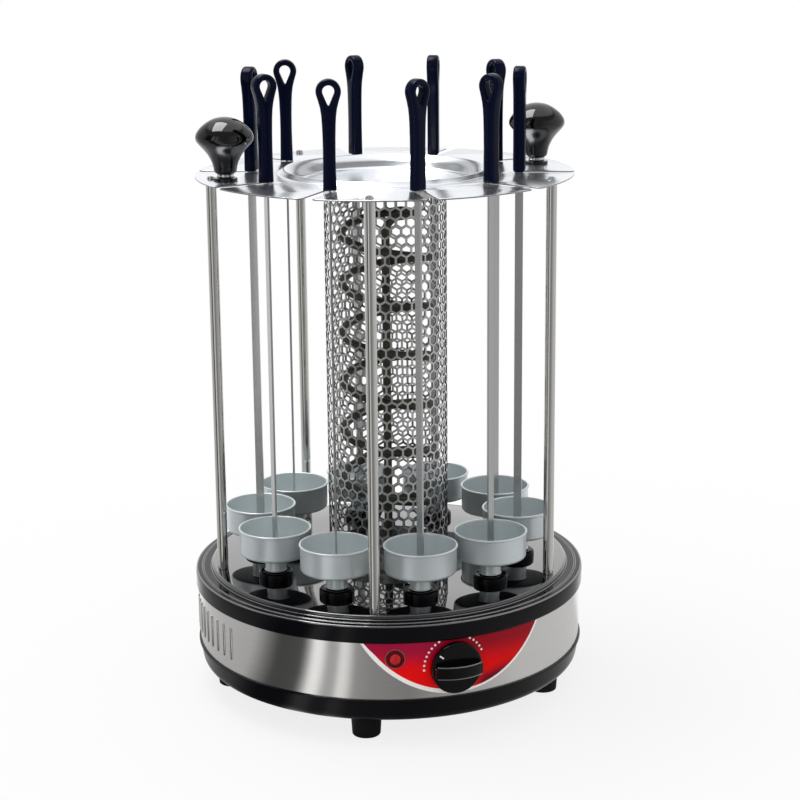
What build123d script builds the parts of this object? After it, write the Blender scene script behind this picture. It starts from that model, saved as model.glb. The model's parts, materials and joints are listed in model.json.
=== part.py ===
"""Vertical electric skewer grill: ten turning skewers round a caged heater, on a round base.

Millimetres, +Z up, origin on the table under the middle of the base. The control panel
faces -Y. A bearing is an angle seen from above, 0 at the panel and growing towards +X.
"""

import math
import os

from build123d import *

os.makedirs("parts", exist_ok=True)

# Heights of the stacked base, from the table up
foot_height = 17.5
lip_bottom = 34.9
band_bottom = 36.0
tray_wall_bottom = 79.5
band_top = 90.0
rim_top = 93.0
deck_top = 96.5
deck_thickness = 3.0

# Radii of the base
base_radius = 150.0
tray_wall_thickness = 1.7
band_radius = 148.0
band_thickness = 0.8
lip_radius = 149.3
pan_top_radius = 148.5
pan_floor_radius = 145.5
pan_corner_radius = 8.0
pan_wall = 2.6
rebate_radius = 146.8
rebate_top = 42.0
plateau_radius = 138.0
rim_seam_radius = 144.7
rim_seam_width = 0.8
heater_port_radius = 42.0
floor_slot_count = 16
floor_slot_circle_radius = 45.0
floor_slot_length = 34.0
floor_slot_width = 3.0

# Stations: ten skewers on one circle, five posts midway between every second pair
station_count = 10
station_radius = 100.0
first_station_bearing = -6.0
station_step = 360.0 / station_count
post_count = 5
post_radius_from_axis = 130.5
first_post_bearing = first_station_bearing - station_step / 2
post_radius = 4.0
post_groove_height = 3.0
post_groove_width = 0.9
post_groove_depth = 0.5
foot_circle_radius = 125.0
foot_bearings = (-27.5, 51.0, 121.0, 190.0, 261.0)
foot_top_radius = 11.5
foot_bottom_radius = 10.4
lift_knob_circle_radius = 121.5
lift_knob_bearings = (88.5, 268.5)

# Turn of each skewer handle about its own axis, as the skewers happen to stand
handle_bearings = (23.0, -62.0, 61.0, -81.0, 63.0, -79.0, -19.0, 56.0, 8.0, -16.0)

# Top plate
plate_top = 396.2
plate_thickness = 1.0
plate_radius = 140.8
dish_ring_foot_radius = 79.0
dish_ring_radius = 76.0
dish_ring_width = 1.0
dish_ring_rise = 3.3
dish_bevel_radius = 70.0
dish_bevel_drop = 1.9
dish_floor_radius = 67.0
dish_drop = 7.2
notch_width = 7.6
notch_corner_radius = 3.5

# Skewers
blade_width = 6.0
blade_thickness = 1.5
blade_tip = 112.3
blade_point_length = 8.0
blade_point_width = 2.5
tang_length = 25.0
handle_bottom = plate_top + 0.3
handle_top = 474.0
handle_thickness = 9.0
handle_head_radius = 8.85
handle_neck_height = 446.0
handle_neck_half_width = 5.2
handle_foot_half_width = 4.8
eye_radius = 4.2
eye_point_radius = 0.7
eye_length = 13.9
eye_top_wall = 4.5

# Drip cups and their spindles
cup_floor = 116.0
cup_top = 136.7
cup_wall_radius = 26.6
cup_sheet = 0.9
cup_bead_radius = 0.9
cup_corner_radius = 2.5
cup_hub_radius = 5.5
cup_hub_height = 3.0
cup_neck_radius = 7.9
cup_neck_foot_radius = 8.3
cup_neck_foot_height = 1.2
cup_neck_bottom = 102.9
cup_neck_clearance = 0.1
spindle_top = 108.0
boss_radius = 13.0
boss_height = 6.0
journal_radius = 5.5
journal_clearance = 0.05
guide_radius = 9.0
guide_bottom = 88.0

# Gear train: one large gear turns ten spindle gears and is turned by the motor pinion
gear_module = 1.6
drive_teeth = 110
pinion_teeth = 15
pressure_angle = math.radians(20.0)
tooth_addendum = 0.85 * gear_module
tooth_dedendum = 1.2 * gear_module
tooth_backlash = 0.4
gear_bottom = 66.0
gear_thickness = 6.0
pinion_bottom = 65.8
pinion_thickness = 6.7
gear_deck_bottom = 58.0
gear_deck_thickness = 3.0
gear_deck_radius = 113.0
hub_radius = 25.0
hub_wall = 3.0
hub_top = 80.0
lower_journal_radius = 3.0
lower_boss_radius = 6.0
lower_boss_top = 65.5
drive_rim_radius = 80.0
drive_collar_radius = 31.0
drive_collar_bottom = 61.3
drive_collar_top = 75.0
motor_bearing = 192.0
motor_radius = 24.5
motor_height = 20.0
motor_shaft_radius = 3.0
motor_shaft_bottom = 50.0
pillar_circle_radius = 85.0
first_pillar_bearing = 30.0
pillar_count = 4
pillar_radius = 5.0
tray_leg_circle_radius = 105.0
tray_leg_bearings = (48.0, 120.0, 228.0, 300.0)
tray_leg_radius = 5.0
deck_window_count = 12
deck_window_circle_radius = 58.0
deck_window_radius = 11.0
deck_motor_hole_radius = 5.0
drive_window_count = 8
drive_window_circle_radius = 55.0
drive_window_radius = 14.0
drive_web_recess = 1.5

# Heater in its cage
cage_radius = 46.0
cage_sheet = 0.8
cage_bottom = 98.0
cage_top = 388.0
cage_columns = 18
cage_rows = 16
cage_web = 2.4
cage_plain_edge = 10.0
heater_flange_radius = 52.0
heater_spigot_height = 6.0
tube_radius = 3.2
coil_radius = 33.0
coil_pitch = 38.0
coil_turns = 6
coil_top = 362.0
coil_bend_radius = 12.0
coil_tail_drop = 26.0
coil_tail_turn = 40.0
terminal_bottom = 84.0
terminal_clearance = 0.05
least_coil_gap = 0.4

# Controls on the front of the band
control_offset = -2.8
control_height = 59.2
knob_radius = 19.2
knob_skirt_back = 150.0
knob_skirt_thickness = 5.0
knob_bar_width = 9.0
knob_bar_front = 164.0
knob_bar_half_length = 18.0
control_shaft_radius = 3.0
control_bush_radius = 4.7
control_bush_front = 149.4
switch_front = 145.6
switch_depth = 24.0
switch_width = 36.0
switch_height = 30.0
panel_top = 79.3
panel_half_width = 68.6
panel_depth = 40.7
panel_back_radius = 148.15
panel_thickness = 0.8
lamp_bearing = -17.9
lamp_height = 67.8
lamp_radius = 4.0
lamp_flange_radius = 7.3
inlet_height = 52.0
inlet_nose = 161.0
inlet_bore_radius = 3.6
inlet_shank_radius = 6.0
inlet_shank_back = 142.0
inlet_flange_radius = 9.5
inlet_flange_back = 148.3
inlet_flange_thickness = 2.4
inlet_nose_radius = 7.2
opening_clearance = 0.2

# Ventilation slots on both sides of the band
slot_height = 58.0
slot_length = 24.5
slot_width = 2.2
slot_count = 10
slot_step = 4.0
slot_group_bearings = (-90.0, 90.0)

# One screw size throughout
screw_head_radius = 3.2
screw_head_height = 2.0
screw_shank_radius = 1.65
screw_length = 12.0
screw_pilot_radius = 1.7
screw_hole_radius = 1.9
foot_recess_depth = 10.0
foot_recess_radius = 4.5

# Carry knobs
lift_knob_height = 46.0
lift_knob_radius = 21.2
lift_knob_stem_radius = 8.7
lift_knob_widest = 31.0
lift_knob_foot_step = 0.4


def spot(radius, bearing, height=0.0):
    """Point at a bearing round the main axis."""
    turn = math.radians(bearing)
    return (radius * math.sin(turn), -radius * math.cos(turn), height)


def ring_of(count, radius, first_bearing, height=0.0):
    """Evenly spaced points round the main axis."""
    return [spot(radius, first_bearing + 360.0 / count * index, height) for index in range(count)]


def facing_out(radius, bearing, height):
    """Plane on the side of the base whose normal points away from the axis."""
    out = Vector(*spot(1.0, bearing))
    return Plane(origin=spot(radius, bearing, height), x_dir=(-out.Y, out.X, 0), z_dir=out)


def involute(angle):
    return math.tan(angle) - angle


def tooth_half_angle(teeth, radius):
    """Half the angle that a tooth fills at a radius, in radians."""
    pitch_radius = gear_module * teeth / 2
    base_circle = pitch_radius * math.cos(pressure_angle)
    half_at_pitch = (math.pi * gear_module / 2 - tooth_backlash) / 2 / pitch_radius
    at_radius = math.acos(base_circle / max(radius, base_circle))
    return half_at_pitch + involute(pressure_angle) - involute(at_radius)


def gear_outline(teeth, first_tooth):
    """Corner points of a spur gear, with one tooth centred on the given angle in degrees."""
    pitch_radius = gear_module * teeth / 2
    base_circle = pitch_radius * math.cos(pressure_angle)
    root = pitch_radius - tooth_dedendum
    radii = [root, pitch_radius, pitch_radius + tooth_addendum]
    if base_circle > root:
        radii.insert(1, base_circle)
    points = []
    for tooth in range(teeth):
        middle = math.radians(first_tooth + 360.0 / teeth * tooth)
        rising = [(radius, middle - tooth_half_angle(teeth, radius)) for radius in radii]
        falling = [(radius, middle + tooth_half_angle(teeth, radius)) for radius in reversed(radii)]
        points += [(radius * math.cos(turn), radius * math.sin(turn)) for radius, turn in rising + falling]
    return points


def biarc(start, start_tangent, end, end_tangent):
    """Two tangent arcs between two points with given directions: the meeting point and its direction."""
    chord = end - start
    along = chord.dot(start_tangent + end_tangent)
    spread = 2 * (1 - start_tangent.dot(end_tangent))
    reach = (-along + math.sqrt(along**2 + spread * chord.dot(chord))) / spread
    meeting = (start + end + (start_tangent - end_tangent) * reach) * 0.5
    direction = (meeting - start - start_tangent * reach).normalized()
    return meeting, direction


station_bearings = [first_station_bearing + station_step * index for index in range(station_count)]
station_spots = ring_of(station_count, station_radius, first_station_bearing)
post_spots = ring_of(post_count, post_radius_from_axis, first_post_bearing)
foot_spots = [spot(foot_circle_radius, bearing) for bearing in foot_bearings]
pillar_spots = ring_of(pillar_count, pillar_circle_radius, first_pillar_bearing)
tray_leg_spots = [spot(tray_leg_circle_radius, bearing) for bearing in tray_leg_bearings]
lift_knob_spots = [spot(lift_knob_circle_radius, bearing) for bearing in lift_knob_bearings]
control_spot = (control_offset, control_height)
plate_underside = plate_top - plate_thickness
deck_underside = deck_top - deck_thickness
pan_floor_top = foot_height + pan_wall
gear_deck_top = gear_deck_bottom + gear_deck_thickness

# Bottom pan: nearly upright black ring with a thin lip under the band, a floor and four pillars
with BuildPart() as bottom_pan:
    with BuildSketch(Plane.XZ) as pan_section:
        with BuildLine():
            Polyline(
                (0, foot_height),
                (pan_floor_radius, foot_height),
                (pan_top_radius, lip_bottom),
                (lip_radius, lip_bottom),
                (lip_radius, band_bottom),
                (rebate_radius, band_bottom),
                (rebate_radius, rebate_top),
                (rebate_radius - pan_wall, rebate_top),
                (rebate_radius - pan_wall, lip_bottom),
                (pan_floor_radius - pan_wall, pan_floor_top),
                (0, pan_floor_top),
                close=True,
            )
        make_face()
        fillet(pan_section.vertices().sort_by_distance((pan_floor_radius, foot_height))[0], pan_corner_radius)
        inside_corner = (pan_floor_radius - pan_wall, pan_floor_top)
        fillet(pan_section.vertices().sort_by_distance(inside_corner)[0], pan_corner_radius - pan_wall)
    revolve(axis=Axis.Z)
    with BuildSketch(Plane.XY.offset(pan_floor_top)):
        with Locations(*[place[:2] for place in pillar_spots]):
            Circle(pillar_radius)
    extrude(amount=gear_deck_bottom - pan_floor_top)
    with BuildSketch(Plane.XY.offset(gear_deck_bottom)):
        with Locations(*[place[:2] for place in pillar_spots]):
            Circle(screw_pilot_radius)
    extrude(amount=-screw_length, mode=Mode.SUBTRACT)
    with BuildSketch(Plane.XY.offset(foot_height)):
        with Locations(*[place[:2] for place in foot_spots]):
            Circle(screw_hole_radius)
        with PolarLocations(floor_slot_circle_radius, floor_slot_count):
            SlotOverall(floor_slot_length, floor_slot_width)
    extrude(amount=pan_wall, mode=Mode.SUBTRACT)
bottom_pan.part.label = "bottom_pan"
export_step(bottom_pan.part, "parts/bottom_pan.step", write_pcurves=False)

# Five rubber feet, recessed for their screws
with BuildPart() as rubber_feet:
    with Locations(*foot_spots):
        Cone(
            foot_bottom_radius,
            foot_top_radius,
            foot_height,
            align=(Align.CENTER, Align.CENTER, Align.MIN),
        )
    fillet(rubber_feet.edges().filter_by(GeomType.CIRCLE).group_by(Axis.Z)[0], 1.5)
    with BuildSketch(Plane.XY):
        with Locations(*[place[:2] for place in foot_spots]):
            Circle(foot_recess_radius)
    extrude(amount=foot_recess_depth, mode=Mode.SUBTRACT)
    with BuildSketch(Plane.XY):
        with Locations(*[place[:2] for place in foot_spots]):
            Circle(screw_hole_radius)
    extrude(amount=foot_height, mode=Mode.SUBTRACT)
rubber_feet.part.label = "rubber_feet"
export_step(rubber_feet.part, "parts/rubber_feet.step", write_pcurves=False)

# Identical pan-head screws: feet, gear deck, tray legs, both ends of the posts, and carry knobs
upward = [
    *[(x, y, foot_recess_depth) for x, y, _ in foot_spots],
    *[(x, y, gear_deck_bottom) for x, y, _ in tray_leg_spots],
    *[(x, y, deck_underside) for x, y, _ in post_spots],
    *[(x, y, plate_underside) for x, y, _ in lift_knob_spots],
]
downward = [
    *[(x, y, gear_deck_top) for x, y, _ in pillar_spots],
    *[(x, y, plate_top) for x, y, _ in post_spots],
]
screw_seats = [Plane(origin=seat, z_dir=(0, 0, 1)) for seat in upward]
screw_seats += [Plane(origin=seat, z_dir=(0, 0, -1)) for seat in downward]
with BuildPart() as case_screws:
    with Locations(*screw_seats):
        Cylinder(screw_shank_radius, screw_length, align=(Align.CENTER, Align.CENTER, Align.MIN))
        Cone(
            0.75 * screw_head_radius,
            screw_head_radius,
            screw_head_height,
            align=(Align.CENTER, Align.CENTER, Align.MAX),
        )
    with Locations(*[seat.offset(-screw_head_height) for seat in screw_seats]):
        for turn in (0, 90):
            Box(3.4, 0.8, 2.0, rotation=(0, 0, turn), mode=Mode.SUBTRACT)
case_screws.part.label = "case_screws"
export_step(case_screws.part, "parts/case_screws.step", write_pcurves=False)

# Steel band round the base, with slots on both sides and openings for the controls
slot_bearings = [
    group + slot_step * (index - (slot_count - 1) / 2)
    for group in slot_group_bearings
    for index in range(slot_count)
]
with BuildPart() as side_band:
    with BuildSketch(Plane.XY.offset(band_bottom)):
        Circle(band_radius)
        Circle(band_radius - band_thickness, mode=Mode.SUBTRACT)
    extrude(amount=band_top - band_bottom)
    with BuildSketch(*[facing_out(band_radius, bearing, slot_height) for bearing in slot_bearings]):
        SlotOverall(slot_length, slot_width, rotation=90)
    extrude(amount=2, both=True, mode=Mode.SUBTRACT)
    with BuildSketch(Plane.XZ.offset(band_radius)):
        with Locations(control_spot):
            Circle(control_bush_radius + opening_clearance)
    extrude(amount=4, both=True, mode=Mode.SUBTRACT)
    with BuildSketch(facing_out(band_radius, lamp_bearing, lamp_height)):
        Circle(lamp_radius + opening_clearance)
    extrude(amount=4, both=True, mode=Mode.SUBTRACT)
    with BuildSketch(facing_out(band_radius, 180, inlet_height)):
        Circle(inlet_shank_radius + opening_clearance)
    extrude(amount=4, both=True, mode=Mode.SUBTRACT)
side_band.part.label = "side_band"
export_step(side_band.part, "parts/side_band.step", write_pcurves=False)

# Top tray: stepped black rim, raised flat deck, a boss round each spindle, and legs underneath
with BuildPart() as top_tray:
    with BuildSketch(Plane.XZ) as tray_section:
        with BuildLine():
            Polyline(
                (heater_port_radius, deck_underside),
                (heater_port_radius, deck_top),
                (plateau_radius, deck_top),
                (plateau_radius, rim_top),
                (base_radius, rim_top),
                (base_radius, tray_wall_bottom),
                (base_radius - tray_wall_thickness, tray_wall_bottom),
                (base_radius - tray_wall_thickness, rim_top - deck_thickness),
                (plateau_radius - deck_thickness, rim_top - deck_thickness),
                (plateau_radius - deck_thickness, deck_underside),
                close=True,
            )
        make_face()
        fillet(tray_section.vertices().sort_by_distance((base_radius, rim_top))[0], 2.6)
        fillet(tray_section.vertices().sort_by_distance((plateau_radius, deck_top))[0], 2.4)
        with Locations((rim_seam_radius, rim_top)):
            Rectangle(rim_seam_width, rim_seam_width, mode=Mode.SUBTRACT)
    revolve(axis=Axis.Z)
    with BuildSketch(Plane.XY.offset(deck_top)):
        with Locations(*[place[:2] for place in station_spots]):
            Circle(boss_radius)
    extrude(amount=boss_height)
    fillet(top_tray.edges().filter_by(GeomType.CIRCLE).group_by(Axis.Z)[-1], 2.0)
    with BuildSketch(Plane.XY.offset(deck_underside)):
        with Locations(*[place[:2] for place in station_spots]):
            Circle(guide_radius)
    extrude(amount=guide_bottom - deck_underside)
    with BuildSketch(Plane.XY.offset(deck_underside)):
        with Locations(*[place[:2] for place in tray_leg_spots]):
            Circle(tray_leg_radius)
    extrude(amount=gear_deck_top - deck_underside)
    with BuildSketch(Plane.XY.offset(gear_deck_top)):
        with Locations(*[place[:2] for place in tray_leg_spots]):
            Circle(screw_pilot_radius)
    extrude(amount=screw_length, mode=Mode.SUBTRACT)
    with BuildSketch(Plane.XY.offset(guide_bottom)):
        with Locations(*[place[:2] for place in station_spots]):
            Circle(journal_radius + journal_clearance)
        with Locations(*[place[:2] for place in post_spots]):
            Circle(screw_hole_radius)
    extrude(amount=deck_top + boss_height - guide_bottom, mode=Mode.SUBTRACT)
top_tray.part.label = "top_tray"
export_step(top_tray.part, "parts/top_tray.step", write_pcurves=False)

# Gear deck: carries the hub of the drive gear, the lower journals and the motor
motor_spot = spot(station_radius, motor_bearing)
with BuildPart() as gear_deck:
    with BuildSketch(Plane.XY.offset(gear_deck_bottom)):
        Circle(gear_deck_radius)
        Circle(hub_radius - hub_wall, mode=Mode.SUBTRACT)
        with PolarLocations(deck_window_circle_radius, deck_window_count):
            Circle(deck_window_radius, mode=Mode.SUBTRACT)
        with Locations(motor_spot[:2]):
            Circle(deck_motor_hole_radius, mode=Mode.SUBTRACT)
        with Locations(*[place[:2] for place in pillar_spots + tray_leg_spots]):
            Circle(screw_hole_radius, mode=Mode.SUBTRACT)
    extrude(amount=gear_deck_thickness)
    with BuildSketch(Plane.XY.offset(gear_deck_top)):
        Circle(hub_radius)
        Circle(hub_radius - hub_wall, mode=Mode.SUBTRACT)
    extrude(amount=hub_top - gear_deck_top)
    with BuildSketch(Plane.XY.offset(gear_deck_top)):
        with Locations(*[place[:2] for place in station_spots]):
            Circle(lower_boss_radius)
    extrude(amount=lower_boss_top - gear_deck_top)
    with BuildSketch(Plane.XY.offset(gear_deck_bottom)):
        with Locations(*[place[:2] for place in station_spots]):
            Circle(lower_journal_radius + journal_clearance)
    extrude(amount=lower_boss_top - gear_deck_bottom, mode=Mode.SUBTRACT)
gear_deck.part.label = "gear_deck"
export_step(gear_deck.part, "parts/gear_deck.step", write_pcurves=False)

# Large drive gear on the hub: a tooth points at every station
with BuildPart() as drive_gear:
    with BuildSketch(Plane.XY.offset(gear_bottom)):
        with BuildLine():
            Polyline(*gear_outline(drive_teeth, first_station_bearing - 90), close=True)
        make_face()
        Circle(drive_rim_radius, mode=Mode.SUBTRACT)
    extrude(amount=gear_thickness)
    with BuildSketch(Plane.XY.offset(gear_bottom + drive_web_recess)):
        Circle(drive_rim_radius + 1)
        with PolarLocations(drive_window_circle_radius, drive_window_count):
            Circle(drive_window_radius, mode=Mode.SUBTRACT)
    extrude(amount=gear_thickness - 2 * drive_web_recess)
    with BuildSketch(Plane.XY.offset(drive_collar_bottom)):
        Circle(drive_collar_radius)
    extrude(amount=drive_collar_top - drive_collar_bottom)
    with BuildSketch(Plane.XY.offset(drive_collar_bottom)):
        Circle(hub_radius + journal_clearance)
    extrude(amount=drive_collar_top - drive_collar_bottom, mode=Mode.SUBTRACT)
drive_gear.part.label = "drive_gear"
export_step(drive_gear.part, "parts/drive_gear.step", write_pcurves=False)

# Motor pinion with its shaft: a tooth points at the main axis
with BuildPart() as motor_pinion:
    with BuildSketch(Plane(origin=(*motor_spot[:2], pinion_bottom))):
        with BuildLine():
            Polyline(*gear_outline(pinion_teeth, motor_bearing + 90), close=True)
        make_face()
    extrude(amount=pinion_thickness)
    with BuildSketch(Plane(origin=(*motor_spot[:2], motor_shaft_bottom))):
        Circle(motor_shaft_radius)
    extrude(amount=pinion_bottom - motor_shaft_bottom)
motor_pinion.part.label = "motor_pinion"
export_step(motor_pinion.part, "parts/motor_pinion.step", write_pcurves=False)

# Geared motor hung under the gear deck
with BuildPart() as gear_motor:
    with BuildSketch(Plane(origin=(*motor_spot[:2], gear_deck_bottom - motor_height))):
        Circle(motor_radius)
    extrude(amount=motor_height)
    fillet(gear_motor.edges().filter_by(GeomType.CIRCLE), 1.5)
    with BuildSketch(Plane(origin=(*motor_spot[:2], gear_deck_bottom))):
        Circle(motor_shaft_radius + journal_clearance)
    extrude(amount=motor_shaft_bottom - gear_deck_bottom - 0.4, mode=Mode.SUBTRACT)
gear_motor.part.label = "gear_motor"
export_step(gear_motor.part, "parts/gear_motor.step", write_pcurves=False)

# Spindle with its gear moulded on: a gap between teeth points at the main axis
with BuildPart() as spindle_shape:
    with BuildSketch(Plane.XY.offset(pinion_bottom)):
        with BuildLine():
            Polyline(*gear_outline(pinion_teeth, 90 + 180 / pinion_teeth), close=True)
        make_face()
    extrude(amount=pinion_thickness)
    with BuildSketch(Plane.XY.offset(gear_deck_bottom + 0.5)):
        Circle(lower_journal_radius)
    extrude(amount=pinion_bottom - gear_deck_bottom - 0.5)
    with BuildSketch(Plane.XY.offset(pinion_bottom + pinion_thickness)):
        Circle(journal_radius)
    extrude(amount=spindle_top - pinion_bottom - pinion_thickness)

# Drip cup: straight wall, rolled rim, hub with the blade's slot, and a neck that sits over the spindle
neck_bore_radius = journal_radius + cup_neck_clearance
with BuildPart() as cup_shape:
    with BuildSketch(Plane.XZ) as cup_section:
        with BuildLine():
            Polyline(
                (0, spindle_top),
                (neck_bore_radius, spindle_top),
                (neck_bore_radius, cup_neck_bottom),
                (cup_neck_foot_radius, cup_neck_bottom),
                (cup_neck_foot_radius, cup_neck_bottom + cup_neck_foot_height),
                (cup_neck_radius, cup_neck_bottom + 2 * cup_neck_foot_height),
                (cup_neck_radius, cup_floor),
                (cup_wall_radius, cup_floor),
                (cup_wall_radius, cup_top - cup_bead_radius),
                (cup_wall_radius - cup_sheet, cup_top - cup_bead_radius),
                (cup_wall_radius - cup_sheet, cup_floor + cup_sheet),
                (cup_hub_radius, cup_floor + cup_sheet),
                (cup_hub_radius, cup_floor + cup_sheet + cup_hub_height),
                (0, cup_floor + cup_sheet + cup_hub_height),
                close=True,
            )
        make_face()
        fillet(cup_section.vertices().sort_by_distance((cup_wall_radius, cup_floor))[0], cup_corner_radius)
        inner_corner = (cup_wall_radius - cup_sheet, cup_floor + cup_sheet)
        fillet(cup_section.vertices().sort_by_distance(inner_corner)[0], cup_corner_radius - cup_sheet)
        with Locations((cup_wall_radius, cup_top - cup_bead_radius)):
            Circle(cup_bead_radius)
    revolve(axis=Axis.Z)
    with BuildSketch(Plane.XY.offset(cup_floor + cup_sheet + cup_hub_height)):
        Rectangle(blade_thickness + 0.4, blade_width + 0.4)
    extrude(amount=blade_tip - 0.3 - cup_floor - cup_sheet - cup_hub_height, mode=Mode.SUBTRACT)

# Flat skewer blade with a blunt point, its flat side square to the handle's eye
with BuildPart() as blade_shape:
    with BuildSketch(Plane.YZ):
        with BuildLine():
            Polyline(
                (-blade_point_width / 2, blade_tip),
                (blade_point_width / 2, blade_tip),
                (blade_width / 2, blade_tip + blade_point_length),
                (blade_width / 2, handle_bottom + tang_length),
                (-blade_width / 2, handle_bottom + tang_length),
                (-blade_width / 2, blade_tip + blade_point_length),
                close=True,
            )
        make_face()
    extrude(amount=blade_thickness / 2, both=True)

# Moulded handle with a teardrop eye
head_height = handle_top - handle_head_radius
eye_height = handle_top - eye_top_wall - eye_radius
eye_point_height = handle_top - eye_top_wall - eye_length + eye_point_radius
with BuildPart() as handle_shape:
    with BuildSketch(Plane.XZ):
        with BuildLine():
            CenterArc((0, head_height), handle_head_radius, 0, 360)
            Line((-handle_neck_half_width, handle_neck_height), (handle_neck_half_width, handle_neck_height))
        make_hull()
        with BuildLine():
            Polyline(
                (-handle_foot_half_width, handle_bottom),
                (handle_foot_half_width, handle_bottom),
                (handle_neck_half_width, handle_neck_height),
                (-handle_neck_half_width, handle_neck_height),
                close=True,
            )
        make_face()
    extrude(amount=handle_thickness / 2, both=True)
    fillet(handle_shape.faces().filter_by(Axis.Y).edges(), 2.0)
    with BuildSketch(Plane.XZ):
        with BuildLine():
            CenterArc((0, eye_height), eye_radius, 0, 360)
            CenterArc((0, eye_point_height), eye_point_radius, 0, 360)
        make_hull()
    extrude(amount=handle_thickness, both=True, mode=Mode.SUBTRACT)
    eye_mouths = handle_shape.faces().filter_by(Axis.Y)
    fillet([edge for face in eye_mouths for edge in face.inner_wires()[0].edges()], 1.2)
    with BuildSketch(Plane.XY.offset(handle_bottom)):
        Rectangle(blade_thickness, blade_width)
    extrude(amount=tang_length, mode=Mode.SUBTRACT)

# The ten stations, each with its spindle, cup, blade and handle
for number, bearing in enumerate(station_bearings, start=1):
    station = spot(station_radius, bearing)
    geared = Location(station, (0, 0, bearing))
    turned = Location(station, (0, 0, handle_bearings[number - 1]))
    with BuildPart() as spindle_gear:
        with Locations(geared):
            add(spindle_shape.part)
    spindle_gear.part.label = f"spindle_gear_{number:02d}"
    export_step(spindle_gear.part, f"parts/spindle_gear_{number:02d}.step", write_pcurves=False)
    with BuildPart() as drip_cup:
        with Locations(turned):
            add(cup_shape.part)
    drip_cup.part.label = f"drip_cup_{number:02d}"
    export_step(drip_cup.part, f"parts/drip_cup_{number:02d}.step", write_pcurves=False)
    with BuildPart() as skewer_blade:
        with Locations(turned):
            add(blade_shape.part)
    skewer_blade.part.label = f"skewer_blade_{number:02d}"
    export_step(skewer_blade.part, f"parts/skewer_blade_{number:02d}.step", write_pcurves=False)
    with BuildPart() as skewer_handle:
        with Locations(turned):
            add(handle_shape.part)
    skewer_handle.part.label = f"skewer_handle_{number:02d}"
    export_step(skewer_handle.part, f"parts/skewer_handle_{number:02d}.step", write_pcurves=False)

# Five polished posts, each with a turned groove above its foot and a tapped hole at both ends
with BuildPart() as support_posts:
    with BuildSketch(Plane.XY.offset(deck_top)):
        with Locations(*[place[:2] for place in post_spots]):
            Circle(post_radius)
    extrude(amount=plate_underside - deck_top)
    with BuildSketch(Plane.XY.offset(deck_top + post_groove_height)):
        with Locations(*[place[:2] for place in post_spots]):
            Circle(post_radius + post_groove_depth)
            Circle(post_radius - post_groove_depth, mode=Mode.SUBTRACT)
    extrude(amount=post_groove_width, mode=Mode.SUBTRACT)
    for end, inward in ((deck_top, 1), (plate_underside, -1)):
        with BuildSketch(Plane.XY.offset(end)):
            with Locations(*[place[:2] for place in post_spots]):
                Circle(screw_pilot_radius)
        extrude(amount=inward * (screw_length + 1), mode=Mode.SUBTRACT)
support_posts.part.label = "support_posts"
export_step(support_posts.part, "parts/support_posts.step", write_pcurves=False)

# Top plate: thin disc with a raised ring round its sunken middle and a notch from the rim to each skewer
notch_length = plate_radius - station_radius + 10
with BuildPart() as top_plate:
    with BuildSketch(Plane.XZ):
        with BuildLine():
            Polyline(
                (0, plate_top - dish_drop),
                (dish_floor_radius, plate_top - dish_drop),
                (dish_bevel_radius, plate_top - dish_bevel_drop),
                (dish_ring_radius - dish_ring_width, plate_top + dish_ring_rise),
                (dish_ring_radius, plate_top + dish_ring_rise),
                (dish_ring_foot_radius, plate_top),
                (plate_radius, plate_top),
            )
            offset(amount=plate_thickness, side=Side.RIGHT, kind=Kind.INTERSECTION)
        make_face()
    revolve(axis=Axis.Z)
    with BuildSketch(Plane.XY.offset(plate_top)):
        for bearing in station_bearings:
            with Locations(Location(spot(station_radius, bearing), (0, 0, bearing))):
                Circle(notch_width / 2)
                Rectangle(notch_width, notch_length, align=(Align.CENTER, Align.MAX))
        with Locations(*[place[:2] for place in post_spots + lift_knob_spots]):
            Circle(screw_hole_radius)
    extrude(amount=-plate_thickness, mode=Mode.SUBTRACT)
    mouths = [
        edge
        for edge in top_plate.edges().filter_by(Axis.Z)
        if math.hypot(edge.center().X, edge.center().Y) > plate_radius - 1
    ]
    fillet(mouths, notch_corner_radius)
top_plate.part.label = "top_plate"
export_step(top_plate.part, "parts/top_plate.step", write_pcurves=False)

# Two mushroom carry knobs on the plate
with BuildPart() as lift_knob_shape:
    with BuildSketch(Plane.XZ):
        with BuildLine():
            foot_line = Polyline(
                (0, 0),
                (lift_knob_stem_radius + lift_knob_foot_step, 0),
                (lift_knob_stem_radius + lift_knob_foot_step, 1.6),
                (lift_knob_stem_radius, 2.4),
            )
            waist = Spline(
                foot_line @ 1,
                (lift_knob_stem_radius + 3.4, 0.59 * lift_knob_widest),
                (lift_knob_radius, lift_knob_widest),
                tangents=[(0, 1), (0, 1)],
            )
            crown = Spline(
                waist @ 1,
                (0.71 * lift_knob_radius, lift_knob_height - 5.5),
                (0, lift_knob_height),
                tangents=[(0, 1), (-1, 0)],
            )
            Line(crown @ 1, foot_line @ 0)
        make_face()
    revolve(axis=Axis.Z)
    with BuildSketch(Plane.XY):
        Circle(screw_pilot_radius)
    extrude(amount=screw_length + 1, mode=Mode.SUBTRACT)
with BuildPart() as lift_knobs:
    with Locations(*[(x, y, plate_top) for x, y, _ in lift_knob_spots]):
        add(lift_knob_shape.part)
lift_knobs.part.label = "lift_knobs"
export_step(lift_knobs.part, "parts/lift_knobs.step", write_pcurves=False)

# Heater tube's ends: the top bend swings out to the helix, and the tail drops a little way past the last turn
swing_radius = (coil_radius**2 - coil_bend_radius**2) / (2 * coil_radius)
swing_angle = math.atan2(swing_radius, coil_bend_radius)
tail_angle = swing_angle + math.radians(coil_tail_turn)
tail_x = coil_radius * math.cos(tail_angle)
tail_y = coil_radius * math.sin(tail_angle)

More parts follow.
